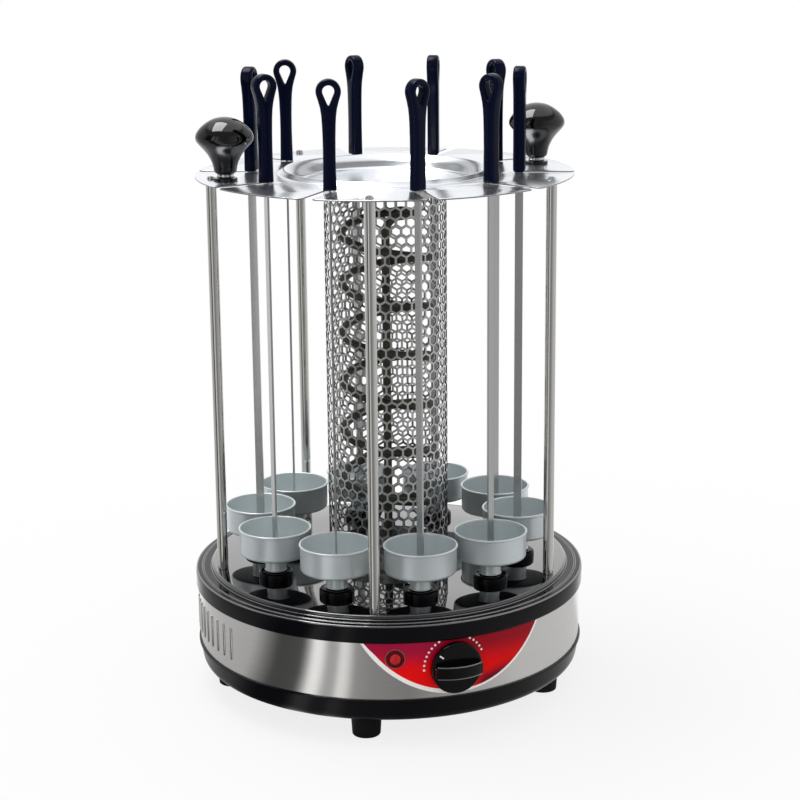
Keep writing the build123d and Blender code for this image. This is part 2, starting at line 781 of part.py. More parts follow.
# Heater flange on the deck, with a spigot inside the cage and ports for the tube's two ends
with BuildPart() as heater_flange:
    with BuildSketch(Plane.XY.offset(deck_top)):
        Circle(heater_flange_radius)
    extrude(amount=cage_bottom - deck_top)
    with BuildSketch(Plane.XY.offset(cage_bottom)):
        Circle(cage_radius - cage_sheet - 0.1)
        Circle(cage_radius - cage_sheet - 1.3, mode=Mode.SUBTRACT)
    extrude(amount=heater_spigot_height)
    with BuildSketch(Plane.XY.offset(deck_top)):
        Circle(tube_radius + terminal_clearance)
        with Locations((tail_x, tail_y)):
            Circle(tube_radius + terminal_clearance)
    extrude(amount=cage_bottom - deck_top, mode=Mode.SUBTRACT)
heater_flange.part.label = "heater_flange"
export_step(heater_flange.part, "parts/heater_flange.step", write_pcurves=False)

# Cage: steel tube with staggered hexagonal holes
hole_pitch = 2 * math.pi * cage_radius / cage_columns
hole_radius = (hole_pitch - cage_web) / math.sqrt(3)
first_row = cage_bottom + cage_plain_edge + hole_radius
row_step = (cage_top - cage_plain_edge - hole_radius - first_row) / (cage_rows - 1)
hole_planes = [
    facing_out(
        cage_radius - 3,
        360.0 / cage_columns * (column + 0.5 * (row % 2)),
        first_row + row_step * row,
    )
    for row in range(cage_rows)
    for column in range(cage_columns)
]
with BuildPart() as heater_cage:
    with BuildSketch(Plane.XY.offset(cage_bottom)):
        Circle(cage_radius)
        Circle(cage_radius - cage_sheet, mode=Mode.SUBTRACT)
    extrude(amount=cage_top - cage_bottom)
    with BuildSketch(*hole_planes):
        RegularPolygon(hole_radius, 6, rotation=30)
    extrude(amount=6, mode=Mode.SUBTRACT)
heater_cage.part.label = "heater_cage"
export_step(heater_cage.part, "parts/heater_cage.step", write_pcurves=False)

# Heater tube: straight up the middle, over a bend, down round the helix and out at the bottom
helix_slope = coil_pitch / (2 * math.pi * coil_radius)


def coil_point(turns):
    """Point on the helix after some turns down from the top."""
    turn = 2 * math.pi * turns + swing_angle
    return Vector(coil_radius * math.cos(turn), coil_radius * math.sin(turn), coil_top - coil_pitch * turns)


def coil_direction(turns):
    turn = 2 * math.pi * turns + swing_angle
    return Vector(-math.sin(turn), math.cos(turn), -helix_slope).normalized()


bend_start = Vector(0, 0, coil_top - coil_bend_radius)
bend_end = Vector(coil_bend_radius, 0, coil_top)
knots = [(coil_point(0), Vector(-math.sin(swing_angle), math.cos(swing_angle), 0))]
knots += [(coil_point(quarter / 4), coil_direction(quarter / 4)) for quarter in range(1, 4 * coil_turns + 1)]
tail_top = Vector(tail_x, tail_y, knots[-1][0].Z - coil_tail_drop)
knots.append((tail_top, Vector(0, 0, -1)))
with BuildPart() as heater_coil:
    with BuildLine() as tube_path:
        Line((0, 0, terminal_bottom), bend_start)
        TangentArc(bend_start, bend_end, tangent=(0, 0, 1))
        TangentArc(bend_end, knots[0][0], tangent=(1, 0, 0))
        for (start, start_way), (end, end_way) in zip(knots, knots[1:]):
            meeting, meeting_way = biarc(start, start_way, end, end_way)
            first_half = TangentArc(start, meeting, tangent=start_way)
            TangentArc(meeting, end, tangent=first_half % 1)
        Line(tail_top, (tail_x, tail_y, terminal_bottom))
    with BuildSketch(Plane(origin=(0, 0, terminal_bottom))):
        Circle(tube_radius)
    sweep()
heater_coil.part.label = "heater_coil"
export_step(heater_coil.part, "parts/heater_coil.step", write_pcurves=False)

# Least gap between stretches of the tube that are more than four diameters apart along it
tube_wire = tube_path.wires()[0]
sample_count = 500
samples = [tube_wire @ (index / sample_count) for index in range(sample_count + 1)]
apart = math.ceil(8 * tube_radius / (tube_wire.length / sample_count))
least_gap = min(
    (samples[first] - samples[second]).length - 2 * tube_radius
    for first in range(sample_count + 1)
    for second in range(first + apart, sample_count + 1)
)
print(f"heater tube: {tube_wire.length:.0f} mm long, least gap to itself {least_gap:.1f} mm")
plain_volume = math.pi * tube_radius**2 * tube_wire.length
print(f"heater tube volume over section times length: {heater_coil.part.volume / plain_volume:.4f}")
assert least_gap > least_coil_gap

# Rotary switch behind the band, with the bush that takes the knob's shaft
with BuildPart() as rotary_switch:
    with BuildSketch(Plane.XZ.offset(switch_front)):
        with Locations(control_spot):
            RectangleRounded(switch_width, switch_height, 3)
    extrude(amount=-switch_depth)
    with BuildSketch(Plane.XZ.offset(switch_front)):
        with Locations(control_spot):
            Circle(control_bush_radius)
    extrude(amount=control_bush_front - switch_front)
    with BuildSketch(Plane.XZ.offset(control_bush_front)):
        with Locations(control_spot):
            Circle(control_shaft_radius + journal_clearance)
    extrude(amount=-switch_depth, mode=Mode.SUBTRACT)
rotary_switch.part.label = "rotary_switch"
export_step(rotary_switch.part, "parts/rotary_switch.step", write_pcurves=False)

# Control knob: round skirt, raised grip bar across it, and its shaft
with BuildPart() as control_knob:
    with BuildSketch(Plane.XZ.offset(knob_skirt_back)):
        with Locations(control_spot):
            Circle(knob_radius)
    extrude(amount=knob_skirt_thickness)
    fillet(control_knob.edges().filter_by(GeomType.CIRCLE).group_by(Axis.Y)[0], 2.0)
    with BuildSketch(Plane.XZ.offset(knob_skirt_back + knob_skirt_thickness)):
        with Locations(control_spot):
            SlotOverall(2 * knob_bar_half_length, knob_bar_width)
    extrude(amount=knob_bar_front - knob_skirt_back - knob_skirt_thickness, taper=6)
    fillet(control_knob.faces().sort_by(Axis.Y)[0].edges(), 1.6)
    with BuildSketch(Plane.XZ.offset(knob_skirt_back)):
        with Locations(control_spot):
            Circle(control_shaft_radius)
    extrude(amount=switch_front - switch_depth / 2 - knob_skirt_back)
control_knob.part.label = "control_knob"
export_step(control_knob.part, "parts/control_knob.step", write_pcurves=False)

# Control panel: a segment of thin sheet rolled onto the band
segment_radius = (panel_half_width**2 + panel_depth**2) / (2 * panel_depth)
with BuildPart() as control_panel:
    with BuildSketch(Plane.XY.offset(panel_top - panel_depth)):
        Circle(panel_back_radius + panel_thickness)
        Circle(panel_back_radius, mode=Mode.SUBTRACT)
    extrude(amount=panel_depth)
    with BuildSketch(Plane.XZ):
        with Locations((0, panel_top - panel_depth + segment_radius)):
            Circle(segment_radius)
    extrude(amount=base_radius + 10, mode=Mode.INTERSECT)
    with BuildSketch(Plane.XZ.offset(band_radius)):
        with Locations(control_spot):
            Circle(control_bush_radius + opening_clearance)
    extrude(amount=4, both=True, mode=Mode.SUBTRACT)
    with BuildSketch(facing_out(band_radius, lamp_bearing, lamp_height)):
        Circle(lamp_radius + opening_clearance)
    extrude(amount=4, both=True, mode=Mode.SUBTRACT)
control_panel.part.label = "control_panel"
export_step(control_panel.part, "parts/control_panel.step", write_pcurves=False)

# Indicator lamp: red lens with a flange, its body reaching inside
lamp_face = facing_out(panel_back_radius + panel_thickness, lamp_bearing, lamp_height)
with BuildPart() as indicator_lamp:
    with BuildSketch(lamp_face):
        Circle(lamp_radius)
    extrude(amount=-14)
    with BuildSketch(lamp_face.offset(0.2)):
        Circle(lamp_flange_radius)
    extrude(amount=1.2)
    with BuildSketch(lamp_face):
        Circle(lamp_radius)
    extrude(amount=2.6)
    dome_edge = indicator_lamp.faces().sort_by_distance(lamp_face.offset(20).origin)[0].edges()
    fillet(dome_edge, 1.1)
indicator_lamp.part.label = "indicator_lamp"
export_step(indicator_lamp.part, "parts/indicator_lamp.step", write_pcurves=False)

# Cord inlet: a hollow bush through the back of the band
inlet_nose_back = inlet_flange_back + inlet_flange_thickness
inlet_start = Plane(origin=(0, 0, inlet_height), x_dir=(-1, 0, 0), z_dir=(0, 1, 0))
with BuildPart() as cord_inlet:
    with BuildSketch(inlet_start.offset(inlet_shank_back)):
        Circle(inlet_shank_radius)
    extrude(amount=inlet_flange_back - inlet_shank_back)
    with BuildSketch(inlet_start.offset(inlet_flange_back)):
        Circle(inlet_flange_radius)
    extrude(amount=inlet_flange_thickness)
    with BuildSketch(inlet_start.offset(inlet_nose_back)):
        Circle(inlet_nose_radius)
    extrude(amount=inlet_nose - inlet_nose_back, taper=8)
    with BuildSketch(inlet_start.offset(inlet_shank_back)):
        Circle(inlet_bore_radius)
    extrude(amount=inlet_nose - inlet_shank_back, mode=Mode.SUBTRACT)
cord_inlet.part.label = "cord_inlet"
export_step(cord_inlet.part, "parts/cord_inlet.step", write_pcurves=False)
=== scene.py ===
"""Looks of the vertical skewer grill: finishes, fine pieces, studio light and camera round the frame."""

import json
import math

import bpy
from mathutils import Matrix, Vector


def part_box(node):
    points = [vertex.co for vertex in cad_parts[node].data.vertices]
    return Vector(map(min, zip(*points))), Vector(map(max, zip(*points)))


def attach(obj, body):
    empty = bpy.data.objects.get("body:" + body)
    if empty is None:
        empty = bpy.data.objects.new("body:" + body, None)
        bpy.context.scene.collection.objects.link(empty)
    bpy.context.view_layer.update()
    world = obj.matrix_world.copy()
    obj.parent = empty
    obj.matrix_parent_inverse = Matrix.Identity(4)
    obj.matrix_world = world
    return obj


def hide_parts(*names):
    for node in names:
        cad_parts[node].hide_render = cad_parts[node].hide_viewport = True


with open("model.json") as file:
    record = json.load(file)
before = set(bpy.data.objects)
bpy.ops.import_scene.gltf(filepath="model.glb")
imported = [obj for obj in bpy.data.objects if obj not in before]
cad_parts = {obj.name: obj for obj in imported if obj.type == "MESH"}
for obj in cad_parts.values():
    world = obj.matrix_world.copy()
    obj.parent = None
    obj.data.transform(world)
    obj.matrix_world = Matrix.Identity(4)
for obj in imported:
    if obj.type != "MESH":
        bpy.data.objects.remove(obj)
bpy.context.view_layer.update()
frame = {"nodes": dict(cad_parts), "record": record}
nodes = frame["nodes"]

MM = 0.001

# Sizes in millimetres and degrees, the same as the solids have
station_names = [f"{number:02d}" for number in range(1, 11)]
handle_bearings = (23.0, -62.0, 61.0, -81.0, 63.0, -79.0, -19.0, 56.0, 8.0, -16.0)
station_radius = 100.0
first_station_bearing = -6.0
station_step = 36.0
post_circle_radius = 130.5
post_radius = 4.0
first_post_bearing = -24.0
post_step = 72.0
posts_in_all = 5
plate_notch_width = 7.6
plate_notch_corner = 3.5
plate_radius = 140.8
plate_thickness = 1.0
plate_top = 396.2
plate_ring_foot = 79.0
plate_ring_radius = 76.0
plate_ring_rise = 3.3
plate_bevel_radius = 70.0
plate_bevel_drop = 1.9
plate_floor_radius = 67.0
plate_floor_drop = 7.2
deck_top = 96.5
deck_edge = 138.0
deck_sheet = 3.0
boss_radius = 13.0
boss_rise = 6.0
boss_bore = 5.6
heater_port_radius = 42.0
rim_top = 93.0
rim_bottom = 79.5
rim_radius = 150.0
rim_inside = 148.3
band_radius = 148.0
slot_height = 58.0
slot_length = 24.5
slot_step = 4.0
slots_on_a_side = 10
cup_floor = 116.0
cup_top = 136.7
cup_neck_bottom = 102.9
cup_wall_radius = 26.6
cage_radius = 46.0
cage_columns = 36
cage_web = 1.5
cage_sheet = 0.8
cage_end_band = 7.0
coil_radius = 33.0
coil_pitch = 38.0
coil_turns = 6
coil_top = 362.0
coil_bend_radius = 12.0
coil_tail_drop = 26.0
coil_tail_turn = 40.0
coil_tail_ease = 1.6
tube_radius = 3.2
terminal_bottom = 84.0
handle_thickness = 9.0
handle_rounding = 2.1
handle_head_radius = 8.85
handle_eye_radius = 4.2
handle_eye_point_radius = 0.7
handle_eye_length = 13.9
handle_eye_top_wall = 4.5
control_offset = -2.8
control_height = 59.2
panel_front = 148.95
panel_top = 79.3
panel_half_width = 68.6
panel_depth = 40.7
lamp_bearing = -17.9
lamp_height = 67.8
knob_back = 150.0
knob_radius = 19.2
grip_half_length = 17.8
grip_width = 9.6
grip_foot = 3.6
grip_arch_centre = (0, -20.0)
grip_arch_radius = 34.0
knob_tick_angle = -50.0
dial_radius = 22.9
dial_first_angle = -92.8
dial_step = 8.8
dial_dots = 19

# Mesh settings: edges past this angle stay sharp, welding distance in metres, roundness of bars
sharp_angle = 35.0
weld = 1e-6
bar_steps = 4

# Studio cards that polished metal mirrors: bearing from the camera and level
studio_cards = (
    (-180, 1.0), (-165, 1.0), (-150, 0.62), (-125, 0.5), (-100, 0.44), (-88, 0.42), (-77, 0.16),
    (-69, 0.03), (-52, 0.05), (-48, 0.4), (-45, 1.0), (-41, 1.0), (-36, 0.36), (-31, 0.42), (-28, 0.85),
    (-25, 0.8), (-20, 0.3), (-10, 0.24), (10, 0.2), (40, 0.36), (75, 0.55), (110, 0.58), (150, 0.62),
    (165, 1.0), (180, 1.0),
)
roof_tilt = 70.0
floor_spread = 0.77
floor_side = 12.0
lamp_aim_height = 250.0

# Photograph's viewpoint
camera_bearing = -19.3
camera_distance = 1510.0
camera_height = 609.0
camera_pitch = 14.43
camera_yaw = 0.37
camera_roll = -0.53
camera_lens = 91.6
camera_sensor = 36.0


def clear_selection():
    if bpy.context.object and bpy.context.object.mode != "OBJECT":
        bpy.ops.object.mode_set(mode="OBJECT")
    bpy.ops.object.select_all(action="DESELECT")


def spot(radius, bearing, height=0.0):
    """Point round the main axis in metres; bearing 0 is the front and grows towards +X."""
    turn = math.radians(bearing)
    return Vector((radius * math.sin(turn), -radius * math.cos(turn), height)) * MM


def toward(bearing):
    """Unit vector away from the main axis."""
    return spot(1.0 / MM, bearing)


def centre_of(node):
    low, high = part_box(node)
    return (low + high) / 2


def arc(centre, radius, first, last, steps):
    """Points of an arc in the (radius, height) plane of a turned profile."""
    angles = [math.radians(first + (last - first) * step / steps) for step in range(steps + 1)]
    return [(centre[0] + radius * math.cos(a), centre[1] + radius * math.sin(a)) for a in angles]


def smoothed(piece):
    clear_selection()
    piece.select_set(True)
    bpy.context.view_layer.objects.active = piece
    bpy.ops.object.shade_smooth_by_angle(angle=math.radians(sharp_angle))
    return piece


def turned(name, profile, sides=128):
    """Lathe piece: a ring at the first (radius, height) point, extruded and resized to each next one."""
    clear_selection()
    (radius, height), *rest = profile
    bpy.ops.mesh.primitive_circle_add(vertices=sides, radius=radius * MM, enter_editmode=True)
    bpy.ops.transform.translate(value=(0, 0, height * MM))
    for next_radius, next_height in rest:
        rise = (next_height - height) * MM
        bpy.ops.mesh.extrude_edges_move(TRANSFORM_OT_translate={"value": (0, 0, rise)})
        if next_radius == 0:
            bpy.ops.mesh.merge(type="CENTER")
            break
        growth = next_radius / radius
        bpy.ops.transform.resize(value=(growth, growth, 1), center_override=(0, 0, next_height * MM))
        radius, height = next_radius, next_height
    bpy.ops.mesh.select_all(action="SELECT")
    bpy.ops.mesh.remove_doubles(threshold=weld)
    bpy.ops.mesh.normals_make_consistent(inside=False)
    bpy.ops.object.mode_set(mode="OBJECT")
    piece = bpy.context.object
    piece.name = name
    piece.data.name = name
    note_lathe(piece)
    return smoothed(piece)


def note_lathe(piece):
    """Keeps a measure of each point along the profile, for finishes that follow the turning."""
    notes = piece.data.attributes.new("lathe", "FLOAT", "POINT")
    for note, vertex in zip(notes.data, piece.data.vertices):
        note.value = vertex.co.z + math.hypot(vertex.co.x, vertex.co.y)


def placed(piece, matrix):
    """Puts the place into the mesh, so that the object itself stays at the origin."""
    piece.data.transform(matrix)
    piece.data.update()
    return piece


def copied(piece, name, matrix):
    twin = piece.copy()
    twin.data = piece.data.copy()
    twin.name = name
    twin.data.name = name
    bpy.context.scene.collection.objects.link(twin)
    return placed(twin, matrix)


def joined(name, pieces):
    clear_selection()
    for piece in pieces:
        piece.select_set(True)
    bpy.context.view_layer.objects.active = pieces[0]
    bpy.ops.object.join()
    pieces[0].name = name
    pieces[0].data.name = name
    return pieces[0]


def facing_out(radius, bearing, height):
    """Matrix that stands a piece modelled along +Z on the side of the base, pointing outwards."""
    out = toward(bearing)
    side = Vector((-out.y, out.x, 0))
    up = Vector((0, 0, 1))
    turn = Matrix((side, up, out)).transposed().to_4x4()
    return Matrix.Translation(spot(radius, bearing, height)) @ turn


def flat_shape(name, outlines, thickness, rounding, steps=3):
    """Flat curve with holes, given a thickness and rounded edges, then made a mesh."""
    clear_selection()
    curve = bpy.data.curves.new(name, "CURVE")
    curve.dimensions = "2D"
    curve.fill_mode = "BOTH"
    curve.extrude = (thickness / 2 - rounding) * MM
    curve.bevel_depth = rounding * MM
    curve.bevel_resolution = steps
    curve.offset = -rounding * MM
    for outline in outlines:
        spline = curve.splines.new("POLY")
        spline.points.add(len(outline) - 1)
        for point, (x, y) in zip(spline.points, outline):
            point.co = (x * MM, y * MM, 0, 1)
        spline.use_cyclic_u = True
    piece = bpy.data.objects.new(name, curve)
    bpy.context.scene.collection.objects.link(piece)
    return meshed(piece)


def meshed(piece):
    """Turns a curve into a mesh with its doubles merged."""
    clear_selection()
    piece.select_set(True)
    bpy.context.view_layer.objects.active = piece
    bpy.ops.object.convert(target="MESH")
    bpy.ops.object.mode_set(mode="EDIT")
    bpy.ops.mesh.select_all(action="SELECT")
    bpy.ops.mesh.remove_doubles(threshold=weld)
    bpy.ops.mesh.normals_make_consistent(inside=False)
    bpy.ops.object.mode_set(mode="OBJECT")
    return smoothed(bpy.context.object)


def tube(name, points, radius):
    """Round bar along points given in metres."""
    curve = bpy.data.curves.new(name, "CURVE")
    curve.dimensions = "3D"
    curve.bevel_depth = radius * MM
    curve.bevel_resolution = bar_steps
    curve.use_fill_caps = True
    spline = curve.splines.new("POLY")
    spline.points.add(len(points) - 1)
    for point, place in zip(spline.points, points):
        point.co = (*place, 1)
    piece = bpy.data.objects.new(name, curve)
    bpy.context.scene.collection.objects.link(piece)
    return meshed(piece)


class Socket:
    """A shader output that Python arithmetic turns into Math nodes."""

    def __init__(self, graph, output):
        self.graph = graph
        self.output = output

    def maths(self, operation, *values):
        return self.graph.node("ShaderNodeMath", {"operation": operation}, dict(enumerate(values)))

    def __add__(self, other):
        return self.maths("ADD", self, other)

    def __radd__(self, other):
        return self.maths("ADD", other, self)

    def __sub__(self, other):
        return self.maths("SUBTRACT", self, other)

    def __rsub__(self, other):
        return self.maths("SUBTRACT", other, self)

    def __mul__(self, other):
        return self.maths("MULTIPLY", self, other)

    def __rmul__(self, other):
        return self.maths("MULTIPLY", other, self)

    def __lt__(self, other):
        return self.maths("LESS_THAN", self, other)

    def __abs__(self):
        return self.maths("ABSOLUTE", self)

    def root(self):
        return self.maths("SQRT", self)

    def angle_from(self, other):
        """Angle of a point, with this as its sideways part and the other as its forward part."""
        return self.maths("ARCTAN2", self, other)


class Graph:
    """A node tree while it is wired."""

    def __init__(self, tree):
        self.tree = tree

    def node(self, kind, settings=None, inputs=None, output=0):
        """Adds a node, sets it up, wires its inputs and returns one of its outputs."""
        made = self.tree.nodes.new(kind)
        for name, value in (settings or {}).items():
            if name == "stops":
                ramp = made.color_ramp
                while len(ramp.elements) < len(value):
                    ramp.elements.new(1.0)
                for element, (position, colour) in zip(ramp.elements, value):
                    element.position = position
                    element.color = colour
            else:
                setattr(made, name, value)
        for key, value in (inputs or {}).items():
            self.wire(made.inputs[key], value)
        return Socket(self, made.outputs[output])

    def wire(self, target, value):
        if isinstance(value, Socket):
            self.tree.links.new(value.output, target)
        else:
            target.default_value = value

    def sisters(self, socket, *names):
        """Other outputs of the node that a socket comes from."""
        return [Socket(self, socket.output.node.outputs[name]) for name in names]

    def split(self, vector):
        first = self.node("ShaderNodeSeparateXYZ", None, {0: vector})
        return self.sisters(first, "X", "Y", "Z")

    def vector(self, x, y, z):
        return self.node("ShaderNodeCombineXYZ", None, {0: x, 1: y, 2: z})

    def fade(self, value, low, high):
        """0 at the low end, 1 at the high end, smooth between."""
        settings = {"interpolation_type": "SMOOTHSTEP"}
        return self.node("ShaderNodeMapRange", settings, {0: value, 1: low, 2: high, 3: 0.0, 4: 1.0})

    def blend(self, factor, first, second):
        """Colour between two others."""
        inputs = {0: factor, 6: first, 7: second}
        return self.node("ShaderNodeMix", {"data_type": "RGBA"}, inputs, 2)

    def seen(self):
        """Two factors: rays straight from the camera, and rays mirrored or let through."""
        camera = self.node("ShaderNodeLightPath", output="Is Camera Ray")
        glossy, clear = self.sisters(camera, "Is Glossy Ray", "Is Transmission Ray")
        return camera, glossy.maths("MAXIMUM", glossy, clear)


class Finish(Graph):
    """One material while it is wired: a Principled shader and the nodes that feed it."""

    def __init__(self, name, **constants):
        self.material = bpy.data.materials.new(name)
        self.material.use_nodes = True
        super().__init__(self.material.node_tree)
        self.shader = self.tree.nodes["Principled BSDF"]
        for socket, value in constants.items():
            self.shader.inputs[socket.replace("_", " ")].default_value = value

    def feed(self, name, value):
        self.wire(self.shader.inputs[name], value)
        return self

    def place(self):
        return self.node("ShaderNodeTexCoord", output="Object")

    def attribute(self, name):
        return self.node("ShaderNodeAttribute", {"attribute_name": name}, output="Fac")

    def noise(self, vector, scale, detail=3.0, roughness=0.5):
        inputs = {"Vector": vector, "Scale": scale, "Detail": detail, "Roughness": roughness}
        return self.node("ShaderNodeTexNoise", None, inputs, "Fac")

    def bump(self, height, distance, strength=1.0):
        inputs = {"Height": height, "Distance": distance, "Strength": strength}
        return self.feed("Normal", self.node("ShaderNodeBump", None, inputs))


def black_gloss(name, colour, roughness, **constants):
    """Moulded black plastic: faint mottle, a little orange peel and handling marks in the gloss."""
    finish = Finish(name, **constants)
    place = finish.place()
    mottle = finish.noise(place, 40.0)
    marks = finish.noise(place, 160.0, 6.0, 0.65)
    lighter = tuple(channel * 1.5 for channel in colour[:3]) + (1.0,)
    finish.feed("Base Color", finish.blend(mottle, colour, lighter))
    finish.feed("Roughness", roughness + 0.08 * finish.fade(marks, 0.5, 0.72))
    return finish.bump(finish.noise(place, 900.0, 2.0), 0.00002, 0.15).material


def mirror_steel(name, colour, roughness, waviness):
    """Polished sheet: almost a mirror, with fine hairlines and a slight wave."""
    finish = Finish(name, Metallic=1.0)
    place = finish.place()
    hairlines = finish.noise(place, 700.0, 5.0, 0.7)
    cloud = finish.noise(place, 22.0, 2.0)
    darker = tuple(channel * 0.94 for channel in colour[:3]) + (1.0,)
    finish.feed("Base Color", finish.blend(cloud, colour, darker))
    finish.feed("Roughness", roughness + 0.05 * finish.fade(hairlines, 0.55, 0.8))
    return finish.bump(finish.noise(place, 9.0, 1.0), waviness, 0.5).material


def plate_steel():
    """Plate polished to a soft mirror, slightly blue, with dull grey edges where it is cut."""
    finish = Finish("plate_steel", Metallic=1.0)
    place = finish.place()
    x, y, _ = finish.split(place)
    _, _, facing = finish.split(finish.node("ShaderNodeTexCoord", output="Normal"))
    edge = finish.fade(abs(facing), 0.75, 0.45) * finish.fade((x * x + y * y).root(), 0.085, 0.09)
    hairlines = finish.noise(place, 700.0, 5.0, 0.7)
    finish.feed("Base Color", finish.blend(edge, (0.87, 0.895, 0.935, 1.0), (0.3, 0.31, 0.33, 1.0)))
    finish.feed("Roughness", 0.23 + 0.05 * finish.fade(hairlines, 0.55, 0.8) + 0.1 * edge)
    return finish.bump(finish.noise(place, 9.0, 1.0), 0.00003, 0.5).material


def brushed_band():
    """Stainless band brushed round its length, so that its reflections smear up and down."""
    finish = Finish("brushed_band", Metallic=1.0, Anisotropic=0.9, Anisotropic_Rotation=0.25)
    x, y, height = finish.split(finish.place())
    angle = y.angle_from(x)
    grain = finish.noise(finish.vector(angle * 2.0, height * 900.0, 0.0), 1.0, 4.0, 0.6)
    coarse = finish.noise(finish.vector(angle * 1.2, height * 160.0, 0.0), 1.0, 2.0)
    finish.feed("Base Color", finish.blend(grain, (0.74, 0.73, 0.71, 1.0), (0.84, 0.83, 0.81, 1.0)))
    finish.feed("Roughness", 0.1 + 0.07 * grain + 0.03 * coarse)
    return finish.bump(grain, 0.00003, 0.2).material


def satin_aluminium():
    """Spun aluminium: fine turning rings and a soft, slightly cool sheen, with painted light on faces turned
    upward and painted shade on faces turned downward.
    """
    finish = Finish("satin_aluminium", Metallic=0.6)
    along = finish.attribute("lathe")
    _, _, facing = finish.split(finish.node("ShaderNodeTexCoord", output="Normal"))
    rings = finish.noise(finish.vector(along * 1400.0, 0.0, 0.0), 1.0, 3.0)
    cloud = finish.noise(finish.place(), 60.0, 3.0)
    wall = finish.blend(cloud, (0.68, 0.745, 0.76, 1.0), (0.76, 0.82, 0.835, 1.0))
    # Painted light: faces turned upward, the rim top and the cup floors, are blended to near white.
    wall_with_painted_light = finish.blend(finish.fade(facing, 0.75, 0.95), wall, (0.93, 0.96, 0.965, 1.0))
    # Painted shade: faces turned downward, under the cups, are blended to near black.
    under = finish.fade(facing, -0.7, -0.9)
    finish.feed("Base Color", finish.blend(under, wall_with_painted_light, (0.05, 0.055, 0.055, 1.0)))
    finish.feed("Roughness", 0.3 + 0.1 * rings)
    return finish.bump(rings, 0.00004, 0.2).material


def cage_wire():
    """Bright pierced sheet, slightly dulled by heat, with painted shade on the cut walls of its cells."""
    finish = Finish("cage_wire", Metallic=1.0)
    place = finish.place()
    x, y, _ = finish.split(place)
    across, along, _ = finish.split(finish.node("ShaderNodeTexCoord", output="Normal"))
    outward = abs(across * x + along * y)
    heat = finish.noise(place, 30.0, 4.0)
    sheet = finish.blend(heat, (0.5, 0.5, 0.5, 1.0), (0.8, 0.8, 0.79, 1.0))
    # Painted shade: faces that do not point outward, the walls inside the cells, are made near black.
    cut = finish.fade(outward, 0.8 * cage_radius * MM, 0.5 * cage_radius * MM)
    finish.feed("Base Color", finish.blend(cut, sheet, (0.09, 0.09, 0.095, 1.0)))
    finish.feed("Roughness", 0.2 + 0.12 * heat)
    return finish.material


def heater_oxide():
    """Dark heater sheath with an uneven brown-green oxide."""
    finish = Finish("heater_oxide", Metallic=0.35)
    place = finish.place()
    patch = finish.noise(place, 55.0, 5.0, 0.6)
    brown, olive, pale = (0.028, 0.026, 0.02, 1.0), (0.07, 0.068, 0.05, 1.0), (0.13, 0.12, 0.09, 1.0)
    stops = [(0.3, brown), (0.55, olive), (0.8, pale)]
    finish.feed("Base Color", finish.node("ShaderNodeValToRGB", {"stops": stops}, {0: patch}))
    finish.feed("Roughness", 0.42 + 0.2 * patch)
    return finish.bump(finish.noise(place, 600.0, 3.0), 0.00006, 0.3).material


def soft_rubber():
    """Black rubber with a faint bloom."""
    finish = Finish("soft_rubber", Specular_IOR_Level=0.2)
    place = finish.place()
    bloom = finish.noise(place, 80.0, 4.0)
    finish.feed("Base Color", finish.blend(bloom, (0.003, 0.003, 0.003, 1.0), (0.008, 0.008, 0.008, 1.0)))
    finish.feed("Roughness", 0.55 + 0.2 * bloom)
    return finish.bump(finish.noise(place, 1500.0, 2.0), 0.00005, 0.3).material


def red_lacquer():
    """Red panel with a pale printed border; its red carries painted light and shade: bright scarlet low in
    the middle, crimson above, darker at the right and in the lower right corner.
    """
    finish = Finish("red_lacquer", Specular_IOR_Level=0.12)
    x, _, z = finish.split(finish.place())
    curve = (panel_half_width**2 + panel_depth**2) / (2 * panel_depth)
    drop = z - (panel_top - panel_depth + curve) * MM
    inset = curve * MM - (x * x + drop * drop).root()
    flake = finish.noise(finish.place(), 1800.0, 2.0)
    # Painted light and shade: bright scarlet low in the middle, crimson towards the top, darker towards the
    # right.
    low = finish.fade(z, (panel_top - 4.0) * MM, (panel_top - 0.55 * panel_depth) * MM)
    left = finish.fade(x, 0.004, -0.03)
    crimson = finish.blend(left, (0.3, 0.002, 0.012, 1.0), (0.36, 0.004, 0.04, 1.0))
    scarlet = finish.blend(finish.fade(x, 0.01, 0.045), (0.86, 0.0, 0.001, 1.0), (0.68, 0.001, 0.001, 1.0))
    red = finish.blend(low, crimson, scarlet)
    # Painted shade: a darker patch in the lower right corner, just inside the border.
    corner = finish.fade(x, 0.01, 0.022) * finish.fade(z, 0.058, 0.047) * finish.fade(inset, 0.012, 0.003)
    red_with_painted_corner_shade = finish.blend(corner, red, (0.17, 0.002, 0.012, 1.0))
    narrow, growth = 0.0016, 0.0015
    width = narrow + growth * finish.fade(x, 0.02, -0.01) * finish.fade(x, -0.069, -0.058)
    finish.feed("Base Color", finish.blend(inset < width, red_with_painted_corner_shade, (0.94, 0.9, 0.89, 1.0)))
    finish.feed("Roughness", 0.24 + 0.08 * flake)
    return finish.material


def white_paint():
    finish = Finish("white_paint")
    wear = finish.noise(finish.place(), 900.0, 3.0)
    finish.feed("Base Color", finish.blend(wear, (0.8, 0.78, 0.78, 1.0), (0.92, 0.9, 0.9, 1.0)))
    finish.feed("Roughness", 0.4 + 0.1 * wear)
    return finish.material


def lamp_lens():
    """Clear red lens over a pale reflector."""
    finish = Finish("lamp_lens", Coat_Weight=0.3, Coat_Roughness=0.03)
    cell = finish.noise(finish.place(), 500.0, 1.0)
    finish.feed("Base Color", finish.blend(cell, (0.42, 0.001, 0.006, 1.0), (0.55, 0.002, 0.008, 1.0)))
    finish.feed("Roughness", 0.15 + 0.1 * cell)
    return finish.material


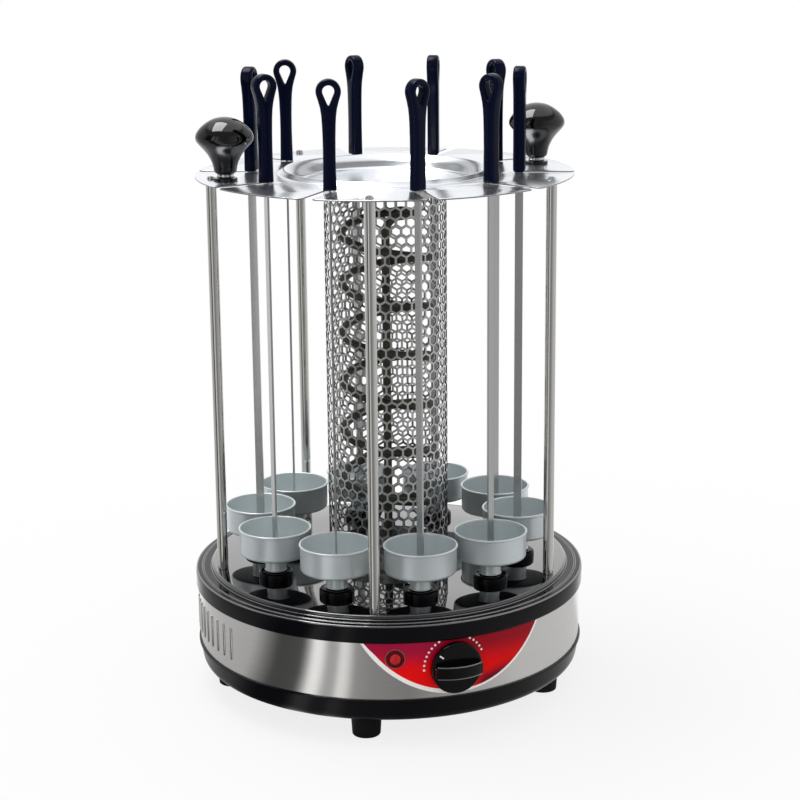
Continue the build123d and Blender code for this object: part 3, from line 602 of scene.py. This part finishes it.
def plain_metal(name, colour, roughness):
    """Plated or machined metal with a mottled gloss."""
    finish = Finish(name, Metallic=1.0)
    cloud = finish.noise(finish.place(), 90.0, 4.0)
    darker = tuple(channel * 0.82 for channel in colour[:3]) + (1.0,)
    finish.feed("Base Color", finish.blend(cloud, colour, darker))
    finish.feed("Roughness", roughness + 0.12 * cloud)
    return finish.material


def plain_plastic(name, colour, roughness):
    """Moulded inner plastic with a fine grain."""
    finish = Finish(name)
    place = finish.place()
    cloud = finish.noise(place, 70.0, 3.0)
    darker = tuple(channel * 0.86 for channel in colour[:3]) + (1.0,)
    finish.feed("Base Color", finish.blend(cloud, colour, darker))
    finish.feed("Roughness", roughness + 0.1 * cloud)
    return finish.bump(finish.noise(place, 1200.0, 2.0), 0.00004, 0.3).material


finishes = {
    "deck_mirror": black_gloss("deck_mirror", (0.001, 0.001, 0.002, 1.0), 0.03, IOR=1.95, Coat_Weight=1.0,
                               Coat_Roughness=0.02),
    "edge_gloss": black_gloss("edge_gloss", (0.01, 0.01, 0.012, 1.0), 0.06, IOR=3.8),
    "black_plastic": black_gloss("rim_black", (0.002, 0.002, 0.003, 1.0), 0.1, Specular_IOR_Level=0.17),
    "pan_black": black_gloss("pan_black", (0.002, 0.002, 0.003, 1.0), 0.14, Specular_IOR_Level=0.2),
    "foot_rubber": soft_rubber(),
    "screw_steel": plain_metal("screw_steel", (0.86, 0.87, 0.88, 1.0), 0.12),
    "band_steel": brushed_band(),
    "deck_steel": plain_metal("deck_zinc", (0.5, 0.52, 0.54, 1.0), 0.4),
    "gear_nylon": plain_plastic("gear_nylon", (0.75, 0.72, 0.64, 1.0), 0.45),
    "gear_brass": plain_metal("pinion_brass", (0.72, 0.53, 0.24, 1.0), 0.25),
    "motor_case": plain_metal("motor_case", (0.5, 0.5, 0.5, 1.0), 0.35),
    "polished_steel": plate_steel(),
    "post_steel": mirror_steel("post_steel", (0.74, 0.73, 0.7, 1.0), 0.1, 0.0),
    "handle_plastic": black_gloss("handle_navy", (0.0005, 0.002, 0.013, 1.0), 0.2, Specular_IOR_Level=0.13),
    "knob_plastic": black_gloss("knob_black", (0.001, 0.001, 0.0015, 1.0), 0.04, IOR=1.62),
    "dial_plastic": black_gloss("dial_black", (0.001, 0.001, 0.0015, 1.0), 0.08, Specular_IOR_Level=0.25),
    "cage_steel": cage_wire(),
    "heater_sheath": heater_oxide(),
    "switch_plastic": plain_plastic("switch_plastic", (0.07, 0.07, 0.08, 1.0), 0.5),
    "panel_red": red_lacquer(),
    "lamp_red": lamp_lens(),
    "bezel_red": black_gloss("bezel_red", (0.07, 0.002, 0.004, 1.0), 0.15, Specular_IOR_Level=0.3),
    "inlet_rubber": soft_rubber(),
    "spindle_nylon": plain_plastic("spindle_nylon", (0.015, 0.015, 0.016, 1.0), 0.3),
    "cup_aluminium": satin_aluminium(),
    "blade_steel": mirror_steel("blade_steel", (0.6, 0.6, 0.6, 1.0), 0.22, 0.0),
    "white_paint": white_paint(),
    # Pale red for the painted highlight round the indicator lamp
    "pale_red_highlight": plain_plastic("pale_red_highlight", (0.45, 0.14, 0.16, 1.0), 0.3),
}
# The pan is a duller black than the rest of its slot
finish_of_node = {"bottom_pan": "pan_black"}


def dressed(piece, finish, body, slot, *stands_for):
    """Gives a new piece its finish and body, and hides the nodes that it stands for; the slot argument is
    not used.
    """
    piece.data.materials.clear()
    piece.data.materials.append(finishes[finish])
    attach(piece, body)
    if stands_for:
        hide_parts(*stands_for)
    return piece


for row in frame["record"]["subparts"]:
    node = nodes[row["node"]]
    node.data.materials.clear()
    node.data.materials.append(finishes[finish_of_node.get(row["node"], row["material_slot"])])


def moved(x, y, height=0.0, turn=0.0):
    """Matrix that turns a piece about its own upright axis and sets it down at a place given in metres."""
    return Matrix.Translation((x, y, height * MM)) @ Matrix.Rotation(math.radians(turn), 4, "Z")


# Heater tube: up the axis, over a bend, down the helix and out below
def heater_tube():
    bend_steps = 8
    helix_steps = 48
    swing_radius = (coil_radius**2 - coil_bend_radius**2) / (2 * coil_radius)
    swing_angle = math.atan2(swing_radius, coil_bend_radius)
    swing_turn = math.pi / 2 + swing_angle
    points = [Vector((0, 0, terminal_bottom))]
    for step in range(bend_steps + 1):
        turn = math.radians(90 * step / bend_steps)
        across = coil_bend_radius * (1 - math.cos(turn))
        points.append(Vector((across, 0, coil_top - coil_bend_radius * (1 - math.sin(turn)))))
    for step in range(1, bend_steps + 1):
        turn = swing_turn * step / (bend_steps + 1)
        across = coil_bend_radius + swing_radius * math.sin(turn)
        points.append(Vector((across, swing_radius * (1 - math.cos(turn)), coil_top)))
    for step in range(coil_turns * helix_steps + 1):
        turn = swing_angle + 2 * math.pi * step / helix_steps
        drop = coil_pitch * step / helix_steps
        points.append(Vector((coil_radius * math.cos(turn), coil_radius * math.sin(turn), coil_top - drop)))
    helix_end = points[-1].z
    for step in range(1, bend_steps + 1):
        share = step / bend_steps
        turn = swing_angle + math.radians(coil_tail_turn) * (1 - (1 - share) ** 2)
        height = helix_end - coil_tail_drop * share**coil_tail_ease
        points.append(Vector((coil_radius * math.cos(turn), coil_radius * math.sin(turn), height)))
    points.append(Vector((*points[-1].xy, terminal_bottom)))
    piece = tube("heater_tube", [point * MM for point in points], tube_radius)
    return dressed(piece, "heater_sheath", "base", "heater_sheath", "heater_coil")


# Cage: a sheet of hexagonal cells, rolled into a tube, with a plain band at each end
def hexagon_cage():
    low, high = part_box("heater_cage")
    pitch = 2 * math.pi * cage_radius / cage_columns
    cell_radius = pitch / math.sqrt(3)
    row_step = 1.5 * cell_radius
    seam_weld = 0.00005
    band_overlap = 0.2
    rows = 2 * int((high.z - low.z) / MM / row_step / 2)
    first_row = (low.z + high.z) / 2 / MM - (rows - 1) / 2 * row_step
    clear_selection()
    radius = cell_radius * MM
    bpy.ops.mesh.primitive_circle_add(vertices=6, radius=radius, fill_type="NGON", enter_editmode=True)
    bpy.ops.mesh.inset(thickness=cage_web / 2 * MM)
    bpy.ops.mesh.delete(type="FACE")
    bpy.ops.mesh.select_all(action="SELECT")
    bpy.ops.mesh.duplicate_move(TRANSFORM_OT_translate={"value": (pitch / 2 * MM, row_step * MM, 0)})
    bpy.ops.object.mode_set(mode="OBJECT")
    sheet = bpy.context.object
    for count, offset in ((cage_columns, (pitch * MM, 0, 0)), (rows // 2, (0, 2 * row_step * MM, 0))):
        array = sheet.modifiers.new("repeat", "ARRAY")
        array.count = count
        array.use_relative_offset = False
        array.use_constant_offset = True
        array.constant_offset_displace = offset
        bpy.ops.object.modifier_apply(modifier=array.name)
    inner = (cage_radius - cage_sheet) * MM
    for vertex in sheet.data.vertices:
        turn = vertex.co.x / (cage_radius * MM)
        vertex.co = (inner * math.cos(turn), inner * math.sin(turn), vertex.co.y + first_row * MM)
    bpy.ops.object.mode_set(mode="EDIT")
    bpy.ops.mesh.select_all(action="SELECT")
    bpy.ops.mesh.remove_doubles(threshold=seam_weld)
    bpy.ops.mesh.normals_make_consistent(inside=False)
    bpy.ops.object.mode_set(mode="OBJECT")
    wall = sheet.modifiers.new("wall", "SOLIDIFY")
    wall.thickness = cage_sheet * MM
    wall.offset = 1.0
    bpy.ops.object.modifier_apply(modifier=wall.name)
    bands = []
    for bottom in (low.z / MM, high.z / MM - cage_end_band):
        top = bottom + cage_end_band
        inside = cage_radius - cage_sheet - band_overlap
        outline = [(inside, bottom), (inside, top), (cage_radius, top), (cage_radius, bottom)]
        bands.append(turned("cage_band", [*outline, outline[0]]))
    cage = joined("cage_mesh", [sheet, *bands])
    return dressed(cage, "cage_steel", "base", "cage_steel", "heater_cage")


# Drip cups: thin wall, rolled rim, hub and neck, spun in one piece
def drip_cups():
    bead = 0.9
    sheet = 0.9
    rim = cup_top - bead
    outside = cup_wall_radius
    inside = outside - sheet
    foot = cup_neck_bottom
    floor = cup_floor + sheet
    bore = 5.6
    skewer_hole = 3.4
    neck = [(bore, foot + 3.0), (bore, foot), (7.9, foot), *arc((7.8, foot + 0.6), 0.6, -80, 70, 4)]
    neck += [(7.8, foot + 2.2), (7.7, cup_floor - 1.2), *arc((8.9, cup_floor - 1.2), 1.2, 180, 90, 3)]
    wall = [(12.0, cup_floor), *arc((outside - 2.5, cup_floor + 2.5), 2.5, -90, 0, 6)]
    wall += [(outside, rim - 1.2), *arc((outside, rim), bead, -80, 170, 12), (inside, rim - 1.2)]
    dish = [*arc((inside - 2.0, floor + 2.0), 2.0, 0, -90, 5), (9.0, floor)]
    hub = [*arc((6.6, floor + 1.0), 1.0, -90, -180, 3), *arc((4.8, floor + 2.2), 0.8, 0, 90, 4)]
    hub += [(skewer_hole, floor + 3.0), (skewer_hole, cup_floor)]
    pattern = turned("cup_pattern", [*neck, *wall, *dish, *hub], sides=96)
    for name in station_names:
        centre = centre_of(f"drip_cup_{name}")
        cup = copied(pattern, f"cup_{name}", moved(centre.x, centre.y))
        dressed(cup, "cup_aluminium", f"spindle_{name}", "cup_aluminium", f"drip_cup_{name}")
    bpy.data.objects.remove(pattern)


# Skewer handles: soft-edged bar that swells into a ring
def handle_outline(height):
    """Outer outline and teardrop eye, upright, with the foot at 0."""
    head = height - handle_head_radius
    shoulder = 15.0
    side = [(4.8, 0.0), (4.6, 10.0), (4.4, 24.0), (4.5, 36.0), (4.8, 46.0), (5.2, 52.0), (5.9, 57.0)]
    side += [(7.2, 62.0)]
    ring = arc((0, head), handle_head_radius, -shoulder, 180 + shoulder, 26)
    outer = side + ring + [(-x, y) for x, y in reversed(side)]
    top = height - handle_eye_top_wall - handle_eye_radius
    point = height - handle_eye_top_wall - handle_eye_length + handle_eye_point_radius
    lean = math.degrees(math.asin((handle_eye_radius - handle_eye_point_radius) / (top - point)))
    eye = arc((0, top), handle_eye_radius, -lean, 180 + lean, 18)
    eye += arc((0, point), handle_eye_point_radius, 180 + lean, 360 - lean, 6)
    return outer, eye


def skewer_handles():
    low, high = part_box("skewer_handle_01")
    outlines = handle_outline((high.z - low.z) / MM)
    pattern = flat_shape("handle_pattern", outlines, handle_thickness, handle_rounding)
    placed(pattern, Matrix.Rotation(math.radians(90), 4, "X"))
    for name, bearing in zip(station_names, handle_bearings):
        centre = centre_of(f"skewer_blade_{name}")
        handle = copied(pattern, f"handle_{name}", moved(centre.x, centre.y, low.z / MM, bearing))
        dressed(handle, "handle_plastic", f"skewer_{name}", "handle_plastic", f"skewer_handle_{name}")
    bpy.data.objects.remove(pattern)


# Carry knobs: a dome with a round edge over a tapering neck, on a bright collar and a small foot
def carry_knobs():
    low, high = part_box("lift_knobs")
    widest = 21.2
    foot = [(1.9, 0.0), (8.5, 0.0), (8.7, 0.3), (8.7, 1.6), (8.4, 2.0), (5.4, 2.2), (5.4, 4.8)]
    neck = [(6.2, 4.9), (7.6, 5.9), (8.3, 7.2), (8.5, 8.4), (8.7, 9.8), (9.7, 13.4), (11.0, 16.2)]
    neck += [(12.7, 19.2), (14.7, 21.7), (16.7, 24.0), (18.9, 26.4), (20.4, 28.4), (21.0, 29.7)]
    dome = [(widest, 31.0), (21.0, 32.6), (20.4, 34.4), (19.0, 36.6), (17.2, 38.7), (15.0, 40.6)]
    dome += [(12.6, 42.3), (10.0, 43.8), (7.4, 44.9), (5.0, 45.5), (2.4, 45.9), (0, 46.0)]
    collar = [(5.2, 2.1), (5.9, 2.3), (6.2, 2.8), (6.2, 4.2), (5.9, 4.7), (5.2, 4.9)]
    middle = (low + high) / 2
    reach = (high.x - low.x) / 2 - widest * MM
    offset = (high.y - low.y) / 2 - widest * MM
    stands = [moved(middle.x + side * reach, middle.y - side * offset, plate_top) for side in (1, -1)]
    knobs = ("carry_knobs", [*foot, *neck, *dome], "knob_plastic", "handle_plastic")
    collars = ("knob_collars", collar, "screw_steel", "polished_steel")
    for name, outline, finish, slot in (knobs, collars):
        pattern = turned(f"{name}_pattern", outline, sides=96)
        pair = [copied(pattern, f"{name}_{index}", stand) for index, stand in enumerate(stands)]
        bpy.data.objects.remove(pattern)
        dressed(joined(name, pair), finish, "base", slot, "lift_knobs")


# Posts: turned rods with a groove above the foot
def posts():
    low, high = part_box("support_posts")
    foot, top = low.z / MM, high.z / MM
    bore = 1.7
    chamfer = post_radius - 0.3
    groove = post_radius - 0.5
    lower = [(bore, foot), (chamfer, foot), (post_radius, foot + 0.4), (post_radius, foot + 3.0)]
    lower += [(groove, foot + 3.2), (groove, foot + 3.7), (post_radius, foot + 3.9)]
    upper = [(post_radius, top - 0.3), (chamfer, top), (bore, top)]
    pattern = turned("post_pattern", [*lower, *upper], sides=48)
    rods = []
    for index in range(posts_in_all):
        place = spot(post_circle_radius, first_post_bearing + post_step * index)
        rods.append(copied(pattern, f"post_{index + 1}", moved(place.x, place.y)))
    bpy.data.objects.remove(pattern)
    dressed(joined("polished_posts", rods), "post_steel", "base", "polished_steel", "support_posts")


# Top plate: notched sheet with softened edges, and a raised ring round the sunken middle
def notched_plate():
    half = plate_notch_width / 2
    corner = plate_notch_corner
    mouth = math.sqrt((plate_radius - corner) ** 2 - (half + corner) ** 2)
    mouth_bearing = math.degrees(math.atan2(half + corner, mouth))
    lobe = station_step - 2 * mouth_bearing
    lobe_steps = 12
    hole_steps = 160
    corner_start = 6
    edge_rounding = 0.3
    outline = []
    for index in range(len(station_names)):
        bearing = first_station_bearing + station_step * index
        for step in range(lobe_steps + 1):
            swing = bearing - mouth_bearing - lobe * (1 - step / lobe_steps)
            outline.append(spot(plate_radius, swing)[:2])
        turn = Matrix.Rotation(math.radians(bearing), 2)
        left = arc((-half - corner, -mouth), corner, -90 + corner_start, 0, 5)
        end = arc((0, -station_radius), half, 180, 0, 12)
        right = arc((half + corner, -mouth), corner, 180, 270 - corner_start, 5)
        outline += [(turn @ Vector(point)) * MM for point in [*left, *end, *right]]
    hole = [spot(plate_ring_foot + 0.6, 360.0 * step / hole_steps)[:2] for step in range(hole_steps)]
    outlines = [[(x / MM, y / MM) for x, y in edge] for edge in (outline, hole)]
    sheet = flat_shape("plate_sheet", outlines, plate_thickness, edge_rounding, 2)
    placed(sheet, Matrix.Translation((0, 0, (plate_top - plate_thickness / 2) * MM)))
    crest = plate_top + plate_ring_rise
    ledge = plate_top - plate_bevel_drop
    floor = plate_top - plate_floor_drop
    ring = [(plate_ring_foot + 1.2, plate_top), (plate_ring_foot + 0.4, plate_top + 0.1)]
    ring += [(plate_ring_foot - 0.4, plate_top + 0.7), (plate_ring_radius + 0.7, crest - 0.6)]
    ring += [(plate_ring_radius + 0.2, crest - 0.1), (plate_ring_radius - 0.5, crest)]
    ring += [(plate_ring_radius - 1.2, crest - 0.3)]
    slope = [(plate_bevel_radius + 0.5, ledge + 0.5), (plate_bevel_radius, ledge - 0.2)]
    slope += [(plate_floor_radius + 0.9, floor + 2.0), (plate_floor_radius - 0.1, floor + 0.8)]
    slope += [(plate_floor_radius - 1.4, floor + 0.2), (plate_floor_radius - 3.2, floor)]
    middle = [(plate_floor_radius / 2, floor), (0, floor)]
    dish = turned("plate_dish", [*ring, *slope, *middle], sides=192)
    plate = joined("notched_plate", [sheet, dish])
    dressed(plate, "polished_steel", "base", "polished_steel", "top_plate")


# Tray: mirror-like deck with a boss round each spindle, inside a stepped rim
def deck_tray():
    under = deck_top - deck_sheet
    deck = [(heater_port_radius, under), (heater_port_radius, deck_top), (70.0, deck_top), (100.0, deck_top)]
    deck += arc((deck_edge - 2.4, deck_top - 2.4), 2.4, 90, 0, 6)
    deck += [(deck_edge, rim_top + 0.3), (deck_edge + 0.3, rim_top)]
    floor = turned("deck_floor", deck, sides=256)
    dressed(floor, "deck_mirror", "base", "black_plastic", "top_tray")
    shoulder = deck_top + boss_rise - 2.0
    shape = [(boss_radius, deck_top - 0.2), (boss_radius, shoulder)]
    shape += [*arc((boss_radius - 2.0, shoulder), 2.0, 0, 90, 5), (boss_bore, deck_top + boss_rise)]
    boss = turned("boss", shape, sides=64)
    bosses = []
    for index in range(len(station_names)):
        place = spot(station_radius, first_station_bearing + station_step * index)
        bosses.append(copied(boss, f"boss_{index}", moved(place.x, place.y)))
    bpy.data.objects.remove(boss)
    dressed(joined("deck_bosses", bosses), "black_plastic", "base", "black_plastic", "top_tray")
    groove_inside, groove_outside = 144.2, 145.2
    ledge = [(deck_edge + 0.3, rim_top), (groove_inside, rim_top), (groove_inside + 0.2, rim_top - 0.8)]
    ledge += [(groove_outside - 0.2, rim_top - 0.8), (groove_outside, rim_top)]
    wall = arc((rim_radius - 2.6, rim_top - 2.6), 2.6, 90, 0, 7)
    wall += [*arc((rim_radius - 1.3, rim_bottom + 1.3), 1.3, 0, -90, 6), (rim_inside, rim_bottom)]
    lining = [(rim_inside, rim_top - deck_sheet), (deck_edge - deck_sheet, rim_top - deck_sheet)]
    lining += [(deck_edge - deck_sheet, under), (heater_port_radius, under)]
    rim = turned("tray_rim", [*ledge, *wall, *lining], sides=256)
    dressed(rim, "black_plastic", "base", "black_plastic", "top_tray")
    beads = [(deck_edge + 0.4, rim_top, 0.5), (groove_inside - 0.1, rim_top - 0.15, 0.45)]
    beads += [(groove_outside + 0.1, rim_top - 0.15, 0.45), (rim_radius - 1.1, rim_top - 1.0, 0.8)]
    lines = []
    for radius, height, thickness in beads:
        bead = arc((radius, height), thickness, 0, 360, 12)
        lines.append(turned(f"rim_line_{round(radius)}", bead, sides=256))
    dressed(joined("rim_lines", lines), "edge_gloss", "base", "black_plastic", "top_tray")


# Control knob: round skirt, arched grip across it and a white tick
def dial_knob():
    place = Matrix.Translation((control_offset * MM, -knob_back * MM, control_height * MM))
    front = place @ Matrix.Rotation(math.radians(90), 4, "X")
    profile = [(knob_radius - 0.6, 0.0), (knob_radius, 0.6), (knob_radius, 3.0)]
    profile += arc((knob_radius - 1.8, 3.2), 1.8, 0, 90, 6)
    skirt = turned("knob_skirt", [*profile, (12.0, 5.2), (0, 5.4)], sides=96)
    arch = arc(grip_arch_centre, grip_arch_radius, 58.4, 121.6, 16)
    outline = [(-grip_half_length, grip_foot), (grip_half_length, grip_foot), *arch]
    grip = flat_shape("knob_grip", [outline], grip_width, 1.1)
    placed(grip, Matrix.Rotation(math.radians(90), 4, "X"))
    knob = joined("dial_knob", [skirt, grip])
    dressed(placed(knob, front), "dial_plastic", "knob", "handle_plastic", "control_knob")
    edge_offset = grip_width / 2 - 0.45
    edge_arch = arc(grip_arch_centre, grip_arch_radius - 0.4, 60, 120, 24)
    edges = []
    for side in (-1, 1):
        ridge = [Vector((x, edge_offset * side, height)) * MM for x, height in edge_arch]
        edges.append(tube("grip_edge", ridge, 0.5))
    dressed(placed(joined("grip_edges", edges), front), "edge_gloss", "knob", "handle_plastic")
    tick_width, tick_length, tick_thickness = 1.1, 3.6, 0.3
    tick_radius, tick_height = 16.2, 5.06
    clear_selection()
    bpy.ops.mesh.primitive_cube_add(size=1.0)
    tick = bpy.context.object
    tick.name = "knob_tick"
    shape = Matrix.Diagonal((tick_width * MM, tick_length * MM, tick_thickness * MM, 1.0))
    swing = Matrix.Rotation(math.radians(-knob_tick_angle), 4, "Z")
    placed(tick, front @ swing @ Matrix.Translation((0, tick_radius * MM, tick_height * MM)) @ shape)
    dressed(tick, "white_paint", "knob", "handle_plastic")


# Dots of the scale round the knob, printed on the panel
def scale_dots():
    dot_radius = 0.85
    dot = [(dot_radius, 0.0), (dot_radius, 0.1), (dot_radius - 0.15, 0.14), (0, 0.15)]
    pattern = turned("dot_pattern", dot, sides=20)
    dots = []
    for index in range(dial_dots):
        turn = math.radians(dial_first_angle + dial_step * index)
        across = control_offset + dial_radius * math.sin(turn)
        bearing = math.degrees(math.asin(across / panel_front))
        stand = facing_out(panel_front, bearing, control_height + dial_radius * math.cos(turn))
        dots.append(copied(pattern, f"dot_{index}", stand))
    bpy.data.objects.remove(pattern)
    dressed(joined("scale_dots", dots), "white_paint", "base", "panel_red")


# Indicator lamp: red lens in a dark ring, with a thin pale red ring round it as a painted highlight
def indicator():
    stand = facing_out(panel_front, lamp_bearing, lamp_height)
    dome = [(4.2, 0.0), (4.2, 1.0), (3.9, 1.5), (3.0, 2.1), (1.6, 2.5), (0, 2.6)]
    ring = [(4.2, 0.4), (4.3, 0.9), (4.8, 1.3), (6.2, 1.3), (6.7, 0.9), (6.8, 0.0)]
    # Painted highlight: the pale red ring round the bezel stands in for the glint on its rim.
    edge = [(6.75, 0.2), (6.9, 0.35), (7.15, 0.35), (7.3, 0.0)]
    lens = turned("lamp_lens", dome, sides=48)
    bezel = turned("lamp_bezel", ring, sides=64)
    line = turned("lamp_highlight_ring", edge, sides=64)
    dressed(placed(lens, stand), "lamp_red", "base", "lamp_red", "indicator_lamp")
    dressed(placed(bezel, stand), "bezel_red", "base", "lamp_red", "indicator_lamp")
    dressed(placed(line, stand), "pale_red_highlight", "base", "lamp_red", "indicator_lamp")


# Louvres: a pressed hood over each slot of the band, open at the front
def louvres():
    half_width = 2.1
    rise = 1.3
    stretch = slot_length / 2 - 1.4
    shift = 1.0
    sink = 0.1
    scale = Matrix.Diagonal((MM, MM, MM, 1.0))
    hoods = []
    for side in (-1, 1):
        nudge = Matrix.Translation((side * shift * MM, 0, -sink * MM))
        for index in range(slots_on_a_side):
            bearing = side * 90.0 + slot_step * (index - (slots_on_a_side - 1) / 2)
            clear_selection()
            bpy.ops.mesh.primitive_uv_sphere_add(segments=24, ring_count=16, radius=1.0)
            hood = bpy.context.object
            placed(hood, Matrix.Rotation(math.radians(90), 4, "X"))
            for vertex in hood.data.vertices:
                x, y, z = vertex.co
                end = (y > 0.01) - (y < -0.01)
                vertex.co = (half_width * x, half_width * y + end * stretch, rise * z)
            hoods.append(placed(hood, facing_out(band_radius, bearing, slot_height) @ nudge @ scale))
    dressed(smoothed(joined("louvres", hoods)), "band_steel", "base", "band_steel")


for make in (heater_tube, hexagon_cage, drip_cups, skewer_handles, carry_knobs, posts, notched_plate,
             deck_tray, dial_knob, scale_dots, indicator, louvres):
    make()


# Studio: pale floor, backdrop and lamps
def surround(graph, x, y, spread):
    """Level of the studio's cards by direction, as polished metal mirrors them."""
    near = toward(camera_bearing)
    across = toward(camera_bearing + 90.0)
    angle = (x * across.x + y * across.y).angle_from(x * near.x + y * near.y)
    stops = [(0.5 + bearing / 360.0, (level, level, level, 1.0)) for bearing, level in studio_cards]
    return graph.node("ShaderNodeValToRGB", {"stops": stops}, {0: angle * (0.5 / math.pi / spread) + 0.5})


def pale_floor():
    clear_selection()
    bpy.ops.mesh.primitive_plane_add(size=floor_side)
    floor = bpy.context.object
    floor.name = "studio_floor"
    finish = Finish("studio_floor", Base_Color=(0.82, 0.82, 0.82, 1.0), Roughness=0.9)
    camera, mirrored = finish.seen()
    x, y, _ = finish.split(finish.place())
    far = finish.fade((x * x + y * y).root(), 0.2, 0.75)
    level = camera + mirrored * surround(finish, x, y, floor_spread)
    glow = finish.node("ShaderNodeEmission", None, {"Color": level, "Strength": 1.0})
    share = camera * (0.82 + 0.18 * far) + mirrored * 0.97
    lit = Socket(finish, finish.shader.outputs[0])
    mixed = finish.node("ShaderNodeMixShader", None, {0: share, 1: lit, 2: glow})
    finish.wire(finish.tree.nodes["Material Output"].inputs["Surface"], mixed)
    floor.data.materials.append(finish.material)


def backdrop():
    """White all round; mirrored, it has grey cards and strips towards the camera and a white roof."""
    world = bpy.data.worlds.new("studio")
    world.use_nodes = True
    bpy.context.scene.world = world
    sky = Graph(world.node_tree)
    camera, mirrored = sky.seen()
    x, y, z = sky.split(sky.node("ShaderNodeTexCoord", output="Generated"))
    cards = surround(sky, x, y, 1.0)
    tilt = toward(camera_bearing + 180.0) * math.cos(math.radians(roof_tilt))
    height = math.sin(math.radians(roof_tilt))
    high = sky.fade(z, 0.55, 0.7)
    roof = sky.fade(x * tilt.x + y * tilt.y + z * height, 0.76, 0.84)
    shown = (cards * (1.0 - high) + 0.22 * high) * (1.0 - roof) + roof
    level = camera + (1.0 - camera) * (mirrored * shown + (1.0 - mirrored) * 0.8)
    sky.wire(sky.tree.nodes["Background"].inputs["Strength"], level)
    sky.wire(sky.tree.nodes["Background"].inputs["Color"], (1.0, 1.0, 1.0, 1.0))


def softbox(name, bearing, distance, height, size, power):
    light = bpy.data.lights.new(name, "AREA")
    light.shape = "RECTANGLE"
    light.size, light.size_y = size
    light.energy = power
    place = spot(distance, camera_bearing + bearing, height)
    aim = (Vector((0, 0, lamp_aim_height * MM)) - place).to_track_quat("-Z", "Y").to_matrix().to_4x4()
    lamp = bpy.data.objects.new(name, light)
    bpy.context.scene.collection.objects.link(lamp)
    lamp.matrix_world = Matrix.Translation(place) @ aim


def viewpoint():
    camera = bpy.data.cameras.new("photo_view")
    camera.lens = camera_lens
    camera.sensor_width = camera_sensor
    camera_object = bpy.data.objects.new("photo_view", camera)
    bpy.context.scene.collection.objects.link(camera_object)
    look = Matrix.Rotation(math.radians(camera_bearing - camera_yaw), 4, "Z")
    look @= Matrix.Rotation(math.radians(90 - camera_pitch), 4, "X")
    look @= Matrix.Rotation(math.radians(camera_roll), 4, "Z")
    place = spot(camera_distance, camera_bearing, camera_height)
    camera_object.matrix_world = Matrix.Translation(place) @ look
    bpy.context.scene.camera = camera_object
    bpy.context.scene.view_settings.view_transform = "Standard"


pale_floor()
backdrop()
softbox("key", bearing=-110.0, distance=450.0, height=1750.0, size=(0.95, 0.7), power=13.0)
viewpoint()
